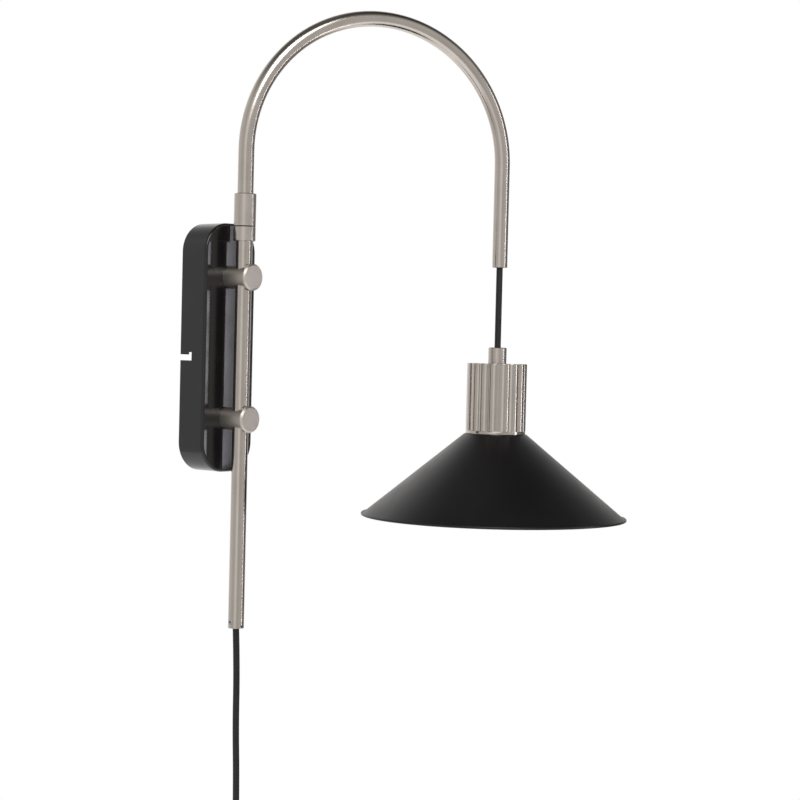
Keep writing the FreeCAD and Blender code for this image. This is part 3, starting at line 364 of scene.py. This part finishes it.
MAKERS = {
    "tube_nickel": lambda f: nickel("tube_nickel", 0.02, 1600, f.nickel_roughness, 0.08),
    "turned_nickel": lambda f: nickel("turned_nickel", 1.0, 600, f.nickel_roughness * 1.5, 0.08),
    "soft_nickel": lambda f: nickel("soft_nickel", 1.0, 600, f.nickel_roughness * 2.2, 0.08),
    "reeded_nickel": lambda f: nickel("reeded_nickel", 1.0, 500, f.nickel_roughness * 0.6, 0.1),
    "gloss_enamel": lambda f: enamel(),
    "satin_paint": lambda f: satin_paint(),
    "moulded_plastic": lambda f: moulded("moulded_plastic", tuple(f.plastic), 0.42),
    "rocker_plastic": lambda f: moulded("rocker_plastic", scaled(tuple(f.plastic), 1.6), 0.3, 0.00001),
    "cord_sheath": lambda f: moulded("cord_sheath", tuple(f.sheath), 0.38, 0.00001),
    "strap_loops": lambda f: moulded("strap_loops", scaled(tuple(f.plastic), 0.8), 0.85, 0.0004),
    "core_insulation": lambda f: moulded("core_insulation", (0.16, 0.07, 0.04), 0.4, 0.00001),
    "bright_zinc": lambda f: bare_metal("bright_zinc", tuple(f.zinc), 0.3),
    "bare_brass": lambda f: bare_metal("bare_brass", tuple(f.brass), 0.28),
}


def finish(name):
    """The named finish, made the first time that it is asked for."""
    if "sconce_brushed" not in bpy.data.node_groups:
        brushed_group()
        handled_group()
        grain_group()
    return bpy.data.materials.get(name) or MAKERS[name](bpy.context.scene.sconce_finishes)


def coat(material, *nodes):
    """Gives CAD nodes their finish."""
    for node in nodes:
        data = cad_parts[node].data
        data.materials.clear()
        data.materials.append(finish(material))


# ---------------------------------------------------------------- mesh helpers


def piece(name, mesh, material, body, replaced=(), sharp=32):
    """Adds a mesh object in its finish, on its body."""
    made = bpy.data.objects.new(name, mesh)
    bpy.context.scene.collection.objects.link(made)
    mesh.materials.append(finish(material))
    mesh.shade_smooth()
    mesh.set_sharp_from_angle(angle=math.radians(sharp))
    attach(made, body)
    if replaced:
        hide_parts(*replaced)
    return made


def skin(name, rings, closed_along=True, capped=False):
    """A mesh through rings of equal length, joined ring to ring, and last to first if closed_along."""
    shape = bmesh.new()
    rows = [[shape.verts.new(point) for point in ring] for ring in rings]
    pairs = list(zip(rows, rows[1:]))
    if closed_along:
        pairs.append((rows[-1], rows[0]))
    for one, other in pairs:
        for k in range(len(one)):
            after = (k + 1) % len(one)
            shape.faces.new((one[k], one[after], other[after], other[k]))
    if capped:
        shape.faces.new(rows[0])
        shape.faces.new(rows[-1])
    bmesh.ops.recalc_face_normals(shape, faces=shape.faces)
    mesh = bpy.data.meshes.new(name)
    shape.to_mesh(mesh)
    shape.free()
    return mesh


def lathe(name, outline, centre, steps, reach=lambda radius, angle: radius):
    """A closed outline of (radius, height) turned about centre; reach may change a radius by angle."""
    rings = []
    for radius, height in outline:
        ring = []
        for k in range(steps):
            angle = 2 * math.pi * k / steps
            r = reach(radius, angle)
            ring.append((centre.x + r * math.cos(angle), centre.y + r * math.sin(angle), height))
        rings.append(ring)
    return skin(name, rings)


def arc_points(x, y, radius, start, end, steps):
    """Points on an arc in the (radius, height) plane, angles in degrees."""
    turn = [math.radians(start + (end - start) * k / steps) for k in range(steps + 1)]
    return [(x + radius * math.cos(a), y + radius * math.sin(a)) for a in turn]


# ---------------------------------------------------------------- cup and shade

HOLDER_PLAY = 0.0003
NIPPLE_PLAY = 0.0001
CUP_EDGE = 0.0004
CUP_RELIEF = 0.0005
CUP_TOP = 0.0015
CUP_CHAMFER = 0.0009
STEPS_PER_REED = 20
SHADE_LIP = 0.0032
SHADE_SHOULDER = 0.0008
RIM_BEAD = 0.0011
RIM_FLARE = 0.006
RIM_INSIDE = 0.004


class SCONCE_OT_cup(bpy.types.Operator):
    """Make the reeded socket cup"""

    bl_idname = "sconce.cup"
    bl_label = "Socket Cup"

    def execute(self, context):
        shape = context.scene.sconce_shape
        low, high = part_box("socket_cup")
        centre = box_middle("cable_gland")
        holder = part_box("lampholder_body")
        outer = (high.x - low.x) / 2
        bore = (holder[1].x - holder[0].x) / 2 + HOLDER_PLAY
        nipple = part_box("threaded_nipple")
        hole = (nipple[1].x - nipple[0].x) / 2 + NIPPLE_PLAY
        pitch = 2 * math.pi / shape.reeds
        middle = outer - shape.reed_radius

        def reeded(radius, angle):
            """Radius of the reeds' outline where the plain radius lies outside the core."""
            if radius <= shape.cup_core:
                return radius
            away = (angle % pitch) - pitch / 2
            inside = shape.reed_radius**2 - (middle * math.sin(away)) ** 2
            crown = middle * math.cos(away) + math.sqrt(max(inside, 0))
            return max(crown, shape.cup_core) + radius - outer

        seam = low.z + shape.cup_band + NIPPLE_PLAY
        edge = outer - CUP_EDGE
        wide = bore + CUP_RELIEF
        reeds = [
            (hole, high.z),
            (bore, high.z),
            *arc_points(edge, high.z - CUP_EDGE, CUP_EDGE, 90, 0, 4),
            (outer, seam),
            (wide, seam),
            (wide, high.z - CUP_TOP + CUP_CHAMFER),
            (bore, high.z - CUP_TOP),
            (hole, high.z - CUP_TOP),
        ]
        made = lathe("reeds", reeds, centre, shape.reeds * STEPS_PER_REED, reeded)
        piece("cup_reeds", made, "reeded_nickel", "pendant", ["socket_cup"], 40)
        foot = [
            (bore, seam),
            *arc_points(edge, seam - CUP_EDGE, CUP_EDGE, 90, 0, 4),
            *arc_points(edge, low.z + CUP_EDGE, CUP_EDGE, 0, -90, 4),
            (bore, low.z),
        ]
        made = lathe("band", foot, centre, 160)
        piece("cup_band", made, "reeded_nickel", "pendant")
        return {"FINISHED"}


class SCONCE_OT_shade(bpy.types.Operator):
    """Make the conical shade with its turned rim"""

    bl_idname = "sconce.shade"
    bl_label = "Shade"

    def execute(self, context):
        shape = context.scene.sconce_shape
        low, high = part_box("shade")
        centre = box_middle("cable_gland")
        rim = (high.x - low.x) / 2
        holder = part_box("shade_ring")
        hole = (holder[1].x - holder[0].x) / 2 - SHADE_LIP
        slope = math.atan2(rim - shape.shade_neck, high.z - low.z)
        sheet = shape.shade_sheet
        across = sheet / math.cos(slope)
        neck = shape.shade_neck

        def up(distance):
            """Height above the rim of a point that lies a distance in from it on the cone."""
            return low.z + distance / math.tan(slope)

        outline = [
            (hole, high.z),
            (neck - SHADE_SHOULDER, high.z),
            (neck + SHADE_SHOULDER / 2, high.z - 0.0006),
            (rim - RIM_FLARE, up(RIM_FLARE)),
            (rim - 0.0012, up(0.0012) + 0.0001),
            *arc_points(rim - RIM_BEAD, low.z + RIM_BEAD, RIM_BEAD, 40, -180, 8),
            (rim - across - RIM_INSIDE, up(RIM_INSIDE)),
            (neck - SHADE_SHOULDER / 2, high.z - sheet - 0.0003),
            (neck - SHADE_SHOULDER * 1.5, high.z - sheet),
            (hole, high.z - sheet),
        ]
        made = lathe("cone", outline, centre, 192)
        piece("shade_cone", made, "satin_paint", "pendant", ["shade"], 30)
        return {"FINISHED"}


# ---------------------------------------------------------------- CAD pieces in their finishes


class SCONCE_OT_metal(bpy.types.Operator):
    """Plate the stem, arch, posts, knobs and gland in satin nickel"""

    bl_idname = "sconce.metal"
    bl_label = "Nickel Pieces"

    def execute(self, context):
        coat("tube_nickel", "stem_tube", "arch_tube")
        coat("turned_nickel", "swivel_upper_sleeve", "swivel_lower_ring", "cable_gland")
        for side in ("upper", "lower"):
            coat("soft_nickel", f"{side}_post", f"{side}_clamp_knob", f"{side}_clamp_stud")
        return {"FINISHED"}


class SCONCE_OT_plate(bpy.types.Operator):
    """Enamel the wall plate and finish the bracket behind it"""

    bl_idname = "sconce.plate"
    bl_label = "Wall Plate"

    def execute(self, context):
        coat("gloss_enamel", "wall_plate", "cover_screws")
        coat("bright_zinc", "wall_bracket", "post_screws", "post_washers")
        return {"FINISHED"}


class SCONCE_OT_fittings(bpy.types.Operator):
    """Finish the lampholder, bushes, screws and contacts"""

    bl_idname = "sconce.fittings"
    bl_label = "Fittings"

    def execute(self, context):
        coat(
            "bright_zinc", "cord_grub_screw", "swivel_stop_screw", "swivel_spigot", "threaded_nipple",
            "nipple_nut", "gland_screw", "switch_screws",
        )
        coat(
            "bare_brass", "thread_shell", "centre_contact", "side_contact", "terminal_screws", "switch_contacts",
        )
        coat(
            "moulded_plastic", "upper_clamp_pad", "lower_clamp_pad", "stem_cord_bush", "swivel_washer",
            "arch_end_bush", "gland_collet", "lampholder_cap", "lampholder_body", "shade_ring",
        )
        coat("cord_sheath", "stem_cable", "arch_cable", "pendant_cable", "lamp_cable", "switch_cord_ends")
        coat("core_insulation", "lamp_leads")
        return {"FINISHED"}


# ---------------------------------------------------------------- cords

TO_SWITCH = (
    (0.0, -0.040, -0.210),
    (0.0009, -0.041, -0.240),
    (0.0009, -0.0411, -0.285),
    (0.0018, -0.042, -0.320),
    (0.002, -0.0422, -0.347),
)
TO_HANK = ((0.002, -0.0422, -0.403), (0.0023, -0.0422, -0.418), (0.0097, -0.0407, -0.435))
TO_PLUG = (
    (-0.048, -0.0463, -0.450),
    (-0.048, -0.048, -0.426),
    (-0.030, -0.051, -0.408),
    (-0.0055, -0.0545, -0.408),
    (0.012, -0.0575, -0.4255),
    (0.012, -0.0585, -0.450),
)
RUNS = 10
FIRST_RUN = 0.0155
RUN_STEP = 0.003
RUN_LENGTH = 0.090
WAIST = 0.008
HANK_MIDDLE = Vector((-0.0175, -0.0435, -0.455))
LAYER_GAP = 0.0056
HANK_ENTRY = -0.450
HALF_CORNER = math.radians(22.5)


def hank_route():
    """Two layers of upright loops: in to the middle, up a layer along a run, and out again."""
    inner = RUNS // 2
    start = FIRST_RUN + (inner - 1) * RUN_STEP
    points = [(HANK_MIDDLE.x + start, HANK_MIDDLE.y + LAYER_GAP / 2, HANK_ENTRY)]
    ends = []
    for number in range(1, RUNS + 1):
        away = FIRST_RUN + abs(number - inner) * RUN_STEP
        side = 1 if number % 2 else -1
        layer = [LAYER_GAP / 2 if n <= inner else -LAYER_GAP / 2 for n in (number, number + 1)]
        if number != inner:
            layer[1] = layer[0]
        ends.append((away, side, layer))
    for number, (away, side, layer) in enumerate(ends):
        for share, drawn in ((1 / 8, 0), (3 / 8, 1), (5 / 8, 1), (7 / 8, 0)):
            x = HANK_MIDDLE.x + side * (away - drawn * WAIST)
            y = HANK_MIDDLE.y + layer[0] + (layer[1] - layer[0]) * share
            z = HANK_MIDDLE.z - RUN_LENGTH * (share if side > 0 else 1 - share)
            points.append((x, y, z))
        if number + 1 < len(ends):
            following = ends[number + 1]
            points += half_turn(side * away, following[0] * following[1], layer[1], side)
    return points


def half_turn(x_from, x_to, layer, side):
    """Corners of the polygon about a half circle below the runs (side 1) or above them (side -1)."""
    radius = abs(x_to - x_from) / 2
    middle = (x_to + x_from) / 2
    edge = HANK_MIDDLE.z - RUN_LENGTH if side > 0 else HANK_MIDDLE.z
    reach = radius / math.cos(HALF_CORNER)
    corners = []
    for k in range(4):
        angle = HALF_CORNER * (1 + 2 * k)
        x = middle + side * reach * math.cos(angle)
        corners.append((HANK_MIDDLE.x + x, HANK_MIDDLE.y + layer, edge - side * reach * math.sin(angle)))
    return corners


def cord_curve(name, points, diameter, replaced):
    """A round cord along one smooth NURBS line."""
    curve = bpy.data.curves.new(name, "CURVE")
    curve.dimensions = "3D"
    curve.bevel_depth = diameter / 2
    curve.bevel_resolution = 5
    curve.resolution_u = 10
    curve.use_fill_caps = True
    line = curve.splines.new("NURBS")
    line.points.add(len(points) - 1)
    for control, place in zip(line.points, points):
        control.co = (*place, 1)
    line.order_u = 3
    line.use_endpoint_u = True
    line.use_smooth = True
    curve.materials.append(finish("cord_sheath"))
    made = bpy.data.objects.new(name, curve)
    bpy.context.scene.collection.objects.link(made)
    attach(made, "stem")
    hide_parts(*replaced)
    return made


class SCONCE_OT_cords(bpy.types.Operator):
    """Lay the power cord from the stem to the switch, and on through its tied hank to the plug"""

    bl_idname = "sconce.cords"
    bl_label = "Power Cord"

    def execute(self, context):
        shape = context.scene.sconce_shape
        d = shape.cord_diameter
        upper = cord_curve("cord_to_switch", TO_SWITCH, d, ["power_cord_upper"])
        lower = cord_curve(
            "cord_to_plug",
            [*TO_HANK, *hank_route(), *TO_PLUG],
            d,
            ["power_cord_middle", "cord_hank", "power_cord_tail"],
        )
        return {"FINISHED"}


STRAP_THICK = 0.0012
STRAP_CORNER = 0.005
STRAP_PLAY = 0.0001
STRAP_TAIL = ((-0.019, 0.0), (-0.0185, 0.0007), (-0.002, 0.0008), (0.006, 0.0006), (0.0085, 0.0002))


class SCONCE_OT_strap(bpy.types.Operator):
    """Wrap the strap round the hank's waist"""

    bl_idname = "sconce.strap"
    bl_label = "Cord Strap"

    def execute(self, context):
        low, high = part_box("cord_tie")
        middle = (low + high) / 2
        half = (high - low) / 2
        height = half.z - STRAP_PLAY
        across = (
            (height - 0.0008, 0.0), (height, 0.0003), (height, STRAP_THICK),
            (-height, STRAP_THICK), (-height, 0.0003), (-height + 0.0008, 0.0),
        )
        rings = []
        for turn_x, turn_y, start in ((1, -1, 270), (1, 1, 0), (-1, 1, 90), (-1, -1, 180)):
            for k in range(9):
                angle = math.radians(start + 90 * k / 8)
                ring = []
                for z, inward in across:
                    radius = STRAP_CORNER - inward
                    x = middle.x + turn_x * (half.x - STRAP_CORNER) + radius * math.cos(angle)
                    y = middle.y + turn_y * (half.y - STRAP_CORNER) + radius * math.sin(angle)
                    ring.append((x, y, middle.z + z))
                rings.append(ring)
        piece("hank_strap", skin("strap", rings), "strap_loops", "stem", ["cord_tie"])
        edge = height - 0.0006
        under = low.y + 0.0009
        tail = []
        for x, lift in STRAP_TAIL:
            y = max(low.y + 0.0004 - lift * 0.6, low.y)
            tail.append([
                (middle.x + x, under, middle.z - edge), (middle.x + x, under, middle.z + edge),
                (middle.x + x, y, middle.z + edge), (middle.x + x, y, middle.z + edge - 0.0005),
                (middle.x + x, y, middle.z - edge + 0.0005), (middle.x + x, y, middle.z - edge),
            ])
        made = skin("end", tail, closed_along=False, capped=True)
        piece("strap_end", made, "strap_loops", "stem")
        return {"FINISHED"}


# ---------------------------------------------------------------- switch and plug

PLUG_SQUARE = 0.62
CORD_HOLE = 0.00252
GUARD_NECK = 0.0032
GUARD_RIBS = 4
GUARD_RIB_DEPTH = 0.0009
PLUG_LEVELS = (
    (0.0, 0.97, 0.94), (0.03, 1.0, 1.0), (0.26, 1.0, 1.0), (0.30, 0.985, 0.93), (0.36, 0.975, 0.93),
    (0.40, 0.975, 1.0), (0.46, 0.965, 1.0), (0.50, 0.945, 0.93), (0.56, 0.93, 0.93), (0.60, 0.915, 1.0),
    (0.66, 0.89, 1.0), (0.70, 0.86, 0.93), (0.77, 0.80, 0.93), (0.86, 0.66, 0.92), (0.95, 0.51, 0.89),
    (0.99, 0.43, 0.80), (1.0, 0.40, 0.74),
)


class SCONCE_OT_switch(bpy.types.Operator):
    """Finish the in-line switch: matt housing, smoother rocker"""

    bl_idname = "sconce.switch"
    bl_label = "In-line Switch"

    def execute(self, context):
        coat("moulded_plastic", "switch_base", "switch_cover")
        coat("rocker_plastic", "switch_rocker")
        return {"FINISHED"}


class SCONCE_OT_plug(bpy.types.Operator):
    """Make the plug's moulding and its ribbed cord guard"""

    bl_idname = "sconce.plug"
    bl_label = "Plug"

    def execute(self, context):
        low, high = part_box("plug_body")
        centre = (low + high) / 2
        half_x, half_y = (high.x - low.x) / 2, (high.y - low.y) / 2
        rings = []
        for share, wide, thick in PLUG_LEVELS:
            ring = []
            for k in range(64):
                angle = 2 * math.pi * k / 64
                c, s = math.cos(angle), math.sin(angle)
                x = math.copysign(abs(c) ** PLUG_SQUARE, c) * half_x * wide
                y = math.copysign(abs(s) ** PLUG_SQUARE, s) * half_y * thick
                ring.append((centre.x + x, centre.y + y, low.z + share * (high.z - low.z)))
            rings.append(ring)
        made = skin("moulding", rings, closed_along=False, capped=True)
        piece("plug_moulding", made, "moulded_plastic", "stem", ["plug_body"], 50)
        foot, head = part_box("plug_relief")
        centre = (foot + head) / 2
        base, tall = (head.x - foot.x) / 2, head.z - foot.z
        outline = [(CORD_HOLE, foot.z), (base, foot.z)]
        for k in range(GUARD_RIBS):
            for share, dip in ((0.15, 0.0), (0.62, 0.0), (0.70, GUARD_RIB_DEPTH), (0.97, GUARD_RIB_DEPTH)):
                along = (k + share) / GUARD_RIBS
                radius = base + (GUARD_NECK - base) * along - dip * (1 - 0.5 * along)
                outline.append((radius, foot.z + tall * along))
        outline += [(GUARD_NECK - 0.0003, head.z), (CORD_HOLE, head.z)]
        made = lathe("ribs", outline, centre, 48)
        piece("plug_ribs", made, "moulded_plastic", "stem", ["plug_relief"])
        coat("bright_zinc", "plug_pins")
        return {"FINISHED"}


# ---------------------------------------------------------------- stage

CAMERA_AT = Vector((-1.0328, -1.1302, 0.0075))
CAMERA_YAW = math.radians(48)
CAMERA_PITCH = math.radians(1.66)
CAMERA_ROLL = math.radians(1.395)
CAMERA_LENS = 90
SENSOR_WIDTH = 36
FLOOR_HEIGHT = -1.1
FLOOR_HALF = 1.6
FLOOR_GLOW = 0.85
FLOOR_LIFT = 1.1
KEY_AT = (-0.9, -1.3, 1.3)
KEY_AIM = (0.08, -0.08, -0.05)
KEY_SIZE = (1.1, 1.1)
CARD_AT = (0.446, -0.53, 0.0)
CARD_AIM = (0.0, -0.03, 0.0)
CARD_SIZE = (0.038, 0.8)
CARD_TINT = (0.95, 0.92, 1.0)
FADE_FROM = 0.45
FADE_TO = 0.9
SURROUND_LEVELS = (
    (0.0, 0.52), (0.03, 0.55), (0.069, 0.78), (0.105, 0.75), (0.15, 0.45), (0.23, 0.5), (0.30, 0.55),
    (0.34, 0.42), (0.37, 0.2), (0.46, 0.12), (0.53, 0.25), (0.58, 1.0), (0.66, 1.0), (0.74, 0.8),
    (0.80, 0.6), (0.87, 0.62), (0.95, 0.5), (1.0, 0.52),
)


def by_ray(tree, names, plain, seen):
    """A shader that rays of the named kinds get as seen, and the others as plain."""
    path = tree.nodes.new("ShaderNodeLightPath")
    share = path.outputs[names[0]]
    for name in names[1:]:
        share = maths(tree, "MAXIMUM", share, path.outputs[name])
    mix = tree.nodes.new("ShaderNodeMixShader")
    tree.links.new(share, mix.inputs["Fac"])
    tree.links.new(plain, mix.inputs[1])
    tree.links.new(seen, mix.inputs[2])
    return mix.outputs[0]


def make_camera():
    data = bpy.data.cameras.new("camera")
    data.lens = CAMERA_LENS
    data.sensor_width = SENSOR_WIDTH
    data.clip_start = 0.01
    camera = bpy.data.objects.new("camera", data)
    bpy.context.scene.collection.objects.link(camera)
    level = Vector((math.sin(CAMERA_YAW), math.cos(CAMERA_YAW), 0))
    side = Vector((math.cos(CAMERA_YAW), -math.sin(CAMERA_YAW), 0))
    ahead = level * math.cos(CAMERA_PITCH) - Vector((0, 0, math.sin(CAMERA_PITCH)))
    above = side.cross(ahead)
    right = side * math.cos(CAMERA_ROLL) + above * math.sin(CAMERA_ROLL)
    up = above * math.cos(CAMERA_ROLL) - side * math.sin(CAMERA_ROLL)
    turn = Matrix((right, up, -ahead)).transposed()
    camera.matrix_world = Matrix.Translation(CAMERA_AT) @ turn.to_4x4()
    bpy.context.scene.camera = camera


def make_world(studio):
    """White where the camera looks past the object; bands of light and shade all round for reflections."""
    world = bpy.data.worlds.new("studio")
    bpy.context.scene.world = world
    world.use_nodes = True
    tree = world.node_tree
    tree.nodes.clear()
    place = tree.nodes.new("ShaderNodeTexCoord")
    split = tree.nodes.new("ShaderNodeSeparateXYZ")
    tree.links.new(place.outputs["Generated"], split.inputs[0])
    angle = maths(tree, "ARCTAN2", split.outputs["Y"], split.outputs["X"])
    share = maths(tree, "ADD", maths(tree, "DIVIDE", angle, 2 * math.pi), 0.5)
    bands = tree.nodes.new("ShaderNodeValToRGB")
    bands.color_ramp.interpolation = "LINEAR"
    tree.links.new(share, bands.inputs["Fac"])
    stops = bands.color_ramp.elements
    for number, (where, level) in enumerate(SURROUND_LEVELS):
        stop = stops[number] if number < 2 else stops.new(where)
        stop.position = where
        stop.color = (level, level * 0.985, level * 0.97, 1)
    fade = tree.nodes.new("ShaderNodeMapRange")
    fade.interpolation_type = "SMOOTHSTEP"
    fade.inputs["From Min"].default_value = FADE_FROM
    fade.inputs["From Max"].default_value = FADE_TO
    fade.inputs["To Min"].default_value = studio.surround
    fade.inputs["To Max"].default_value = studio.surround * studio.ceiling
    tree.links.new(split.outputs["Z"], fade.inputs["Value"])
    around = tree.nodes.new("ShaderNodeBackground")
    tree.links.new(bands.outputs["Color"], around.inputs["Color"])
    tree.links.new(fade.outputs[0], around.inputs["Strength"])
    seen = tree.nodes.new("ShaderNodeBackground")
    seen.inputs["Color"].default_value = (*studio.backdrop, 1)
    out = tree.nodes.new("ShaderNodeOutputWorld")
    kinds = ("Is Camera Ray", "Is Transmission Ray")
    tree.links.new(by_ray(tree, kinds, around.outputs[0], seen.outputs[0]), out.inputs["Surface"])


def lamp(name, place, aim, size, power, tint=(1, 1, 1)):
    """A soft rectangular lamp that points at aim."""
    data = bpy.data.lights.new(name, "AREA")
    data.shape = "RECTANGLE"
    data.size, data.size_y = size
    data.energy = power
    data.color = tint
    made = bpy.data.objects.new(name, data)
    made.visible_camera = False
    made.location = place
    made.rotation_mode = "QUATERNION"
    made.rotation_quaternion = (Vector(aim) - Vector(place)).to_track_quat("-Z", "Y")
    bpy.context.scene.collection.objects.link(made)


def make_floor(studio):
    """A pale floor well below the sconce."""
    corners = [(FLOOR_HALF * x, FLOOR_HALF * y) for x, y in ((-1, -1), (1, -1), (1, 1), (-1, 1))]
    mesh = bpy.data.meshes.new("floor")
    mesh.from_pydata([(x, y, FLOOR_HEIGHT) for x, y in corners], [], [(0, 1, 2, 3)])
    material = bpy.data.materials.new("pale_floor")
    material.use_nodes = True
    tree = material.node_tree
    tree.nodes.clear()
    matt = tree.nodes.new("ShaderNodeBsdfDiffuse")
    matt.inputs["Color"].default_value = (0.8, 0.8, 0.8, 1)
    glow = tree.nodes.new("ShaderNodeEmission")
    glow.inputs["Color"].default_value = (*studio.backdrop, 1)
    shown = tree.nodes.new("ShaderNodeMixShader")
    shown.inputs["Fac"].default_value = FLOOR_GLOW
    tree.links.new(matt.outputs[0], shown.inputs[1])
    tree.links.new(glow.outputs[0], shown.inputs[2])
    glow.inputs["Strength"].default_value = FLOOR_LIFT
    out = tree.nodes.new("ShaderNodeOutputMaterial")
    kinds = ("Is Camera Ray", "Is Glossy Ray", "Is Transmission Ray")
    tree.links.new(by_ray(tree, kinds, matt.outputs[0], shown.outputs[0]), out.inputs["Surface"])
    mesh.materials.append(material)
    floor = bpy.data.objects.new("floor", mesh)
    bpy.context.scene.collection.objects.link(floor)


class SCONCE_OT_stage(bpy.types.Operator):
    """Set the camera, lamps, floor and background"""

    bl_idname = "sconce.stage"
    bl_label = "Stage"

    def execute(self, context):
        studio = context.scene.sconce_studio
        context.scene.view_settings.view_transform = "Standard"
        make_camera()
        make_world(studio)
        make_floor(studio)
        lamp("key_lamp", KEY_AT, KEY_AIM, KEY_SIZE, studio.key_power)
        lamp("card_lamp", CARD_AT, CARD_AIM, CARD_SIZE, studio.card_power, CARD_TINT)
        return {"FINISHED"}


class SCONCE_PT_panel(bpy.types.Panel):
    """Lists the sconce's pieces and settings"""

    bl_label = "Wall Sconce"
    bl_idname = "SCONCE_PT_panel"
    bl_space_type = "VIEW_3D"
    bl_region_type = "UI"
    bl_category = "Sconce"

    def draw(self, context):
        for settings in ("sconce_finishes", "sconce_shape", "sconce_studio"):
            group = getattr(context.scene, settings)
            for name in group.__annotations__:
                self.layout.prop(group, name)
        for step in STEPS:
            self.layout.operator(step.bl_idname)


SETTINGS = (
    ("sconce_finishes", SconceFinishes),
    ("sconce_shape", SconceShape),
    ("sconce_studio", SconceStudio),
)
STEPS = (
    SCONCE_OT_metal,
    SCONCE_OT_plate,
    SCONCE_OT_fittings,
    SCONCE_OT_cup,
    SCONCE_OT_shade,
    SCONCE_OT_switch,
    SCONCE_OT_plug,
    SCONCE_OT_strap,
    SCONCE_OT_cords,
    SCONCE_OT_stage,
)


def register():
    for name, group in SETTINGS:
        bpy.utils.register_class(group)
        setattr(bpy.types.Scene, name, PointerProperty(type=group))
    for made in (*STEPS, SCONCE_PT_panel):
        bpy.utils.register_class(made)


def unregister():
    for made in reversed((*STEPS, SCONCE_PT_panel)):
        bpy.utils.unregister_class(made)
    for name, group in reversed(SETTINGS):
        delattr(bpy.types.Scene, name)
        bpy.utils.unregister_class(group)


def main():
    register()
    for step in STEPS:
        section, name = step.bl_idname.split(".")
        getattr(getattr(bpy.ops, section), name)()


if __name__ == "__main__":
    main()
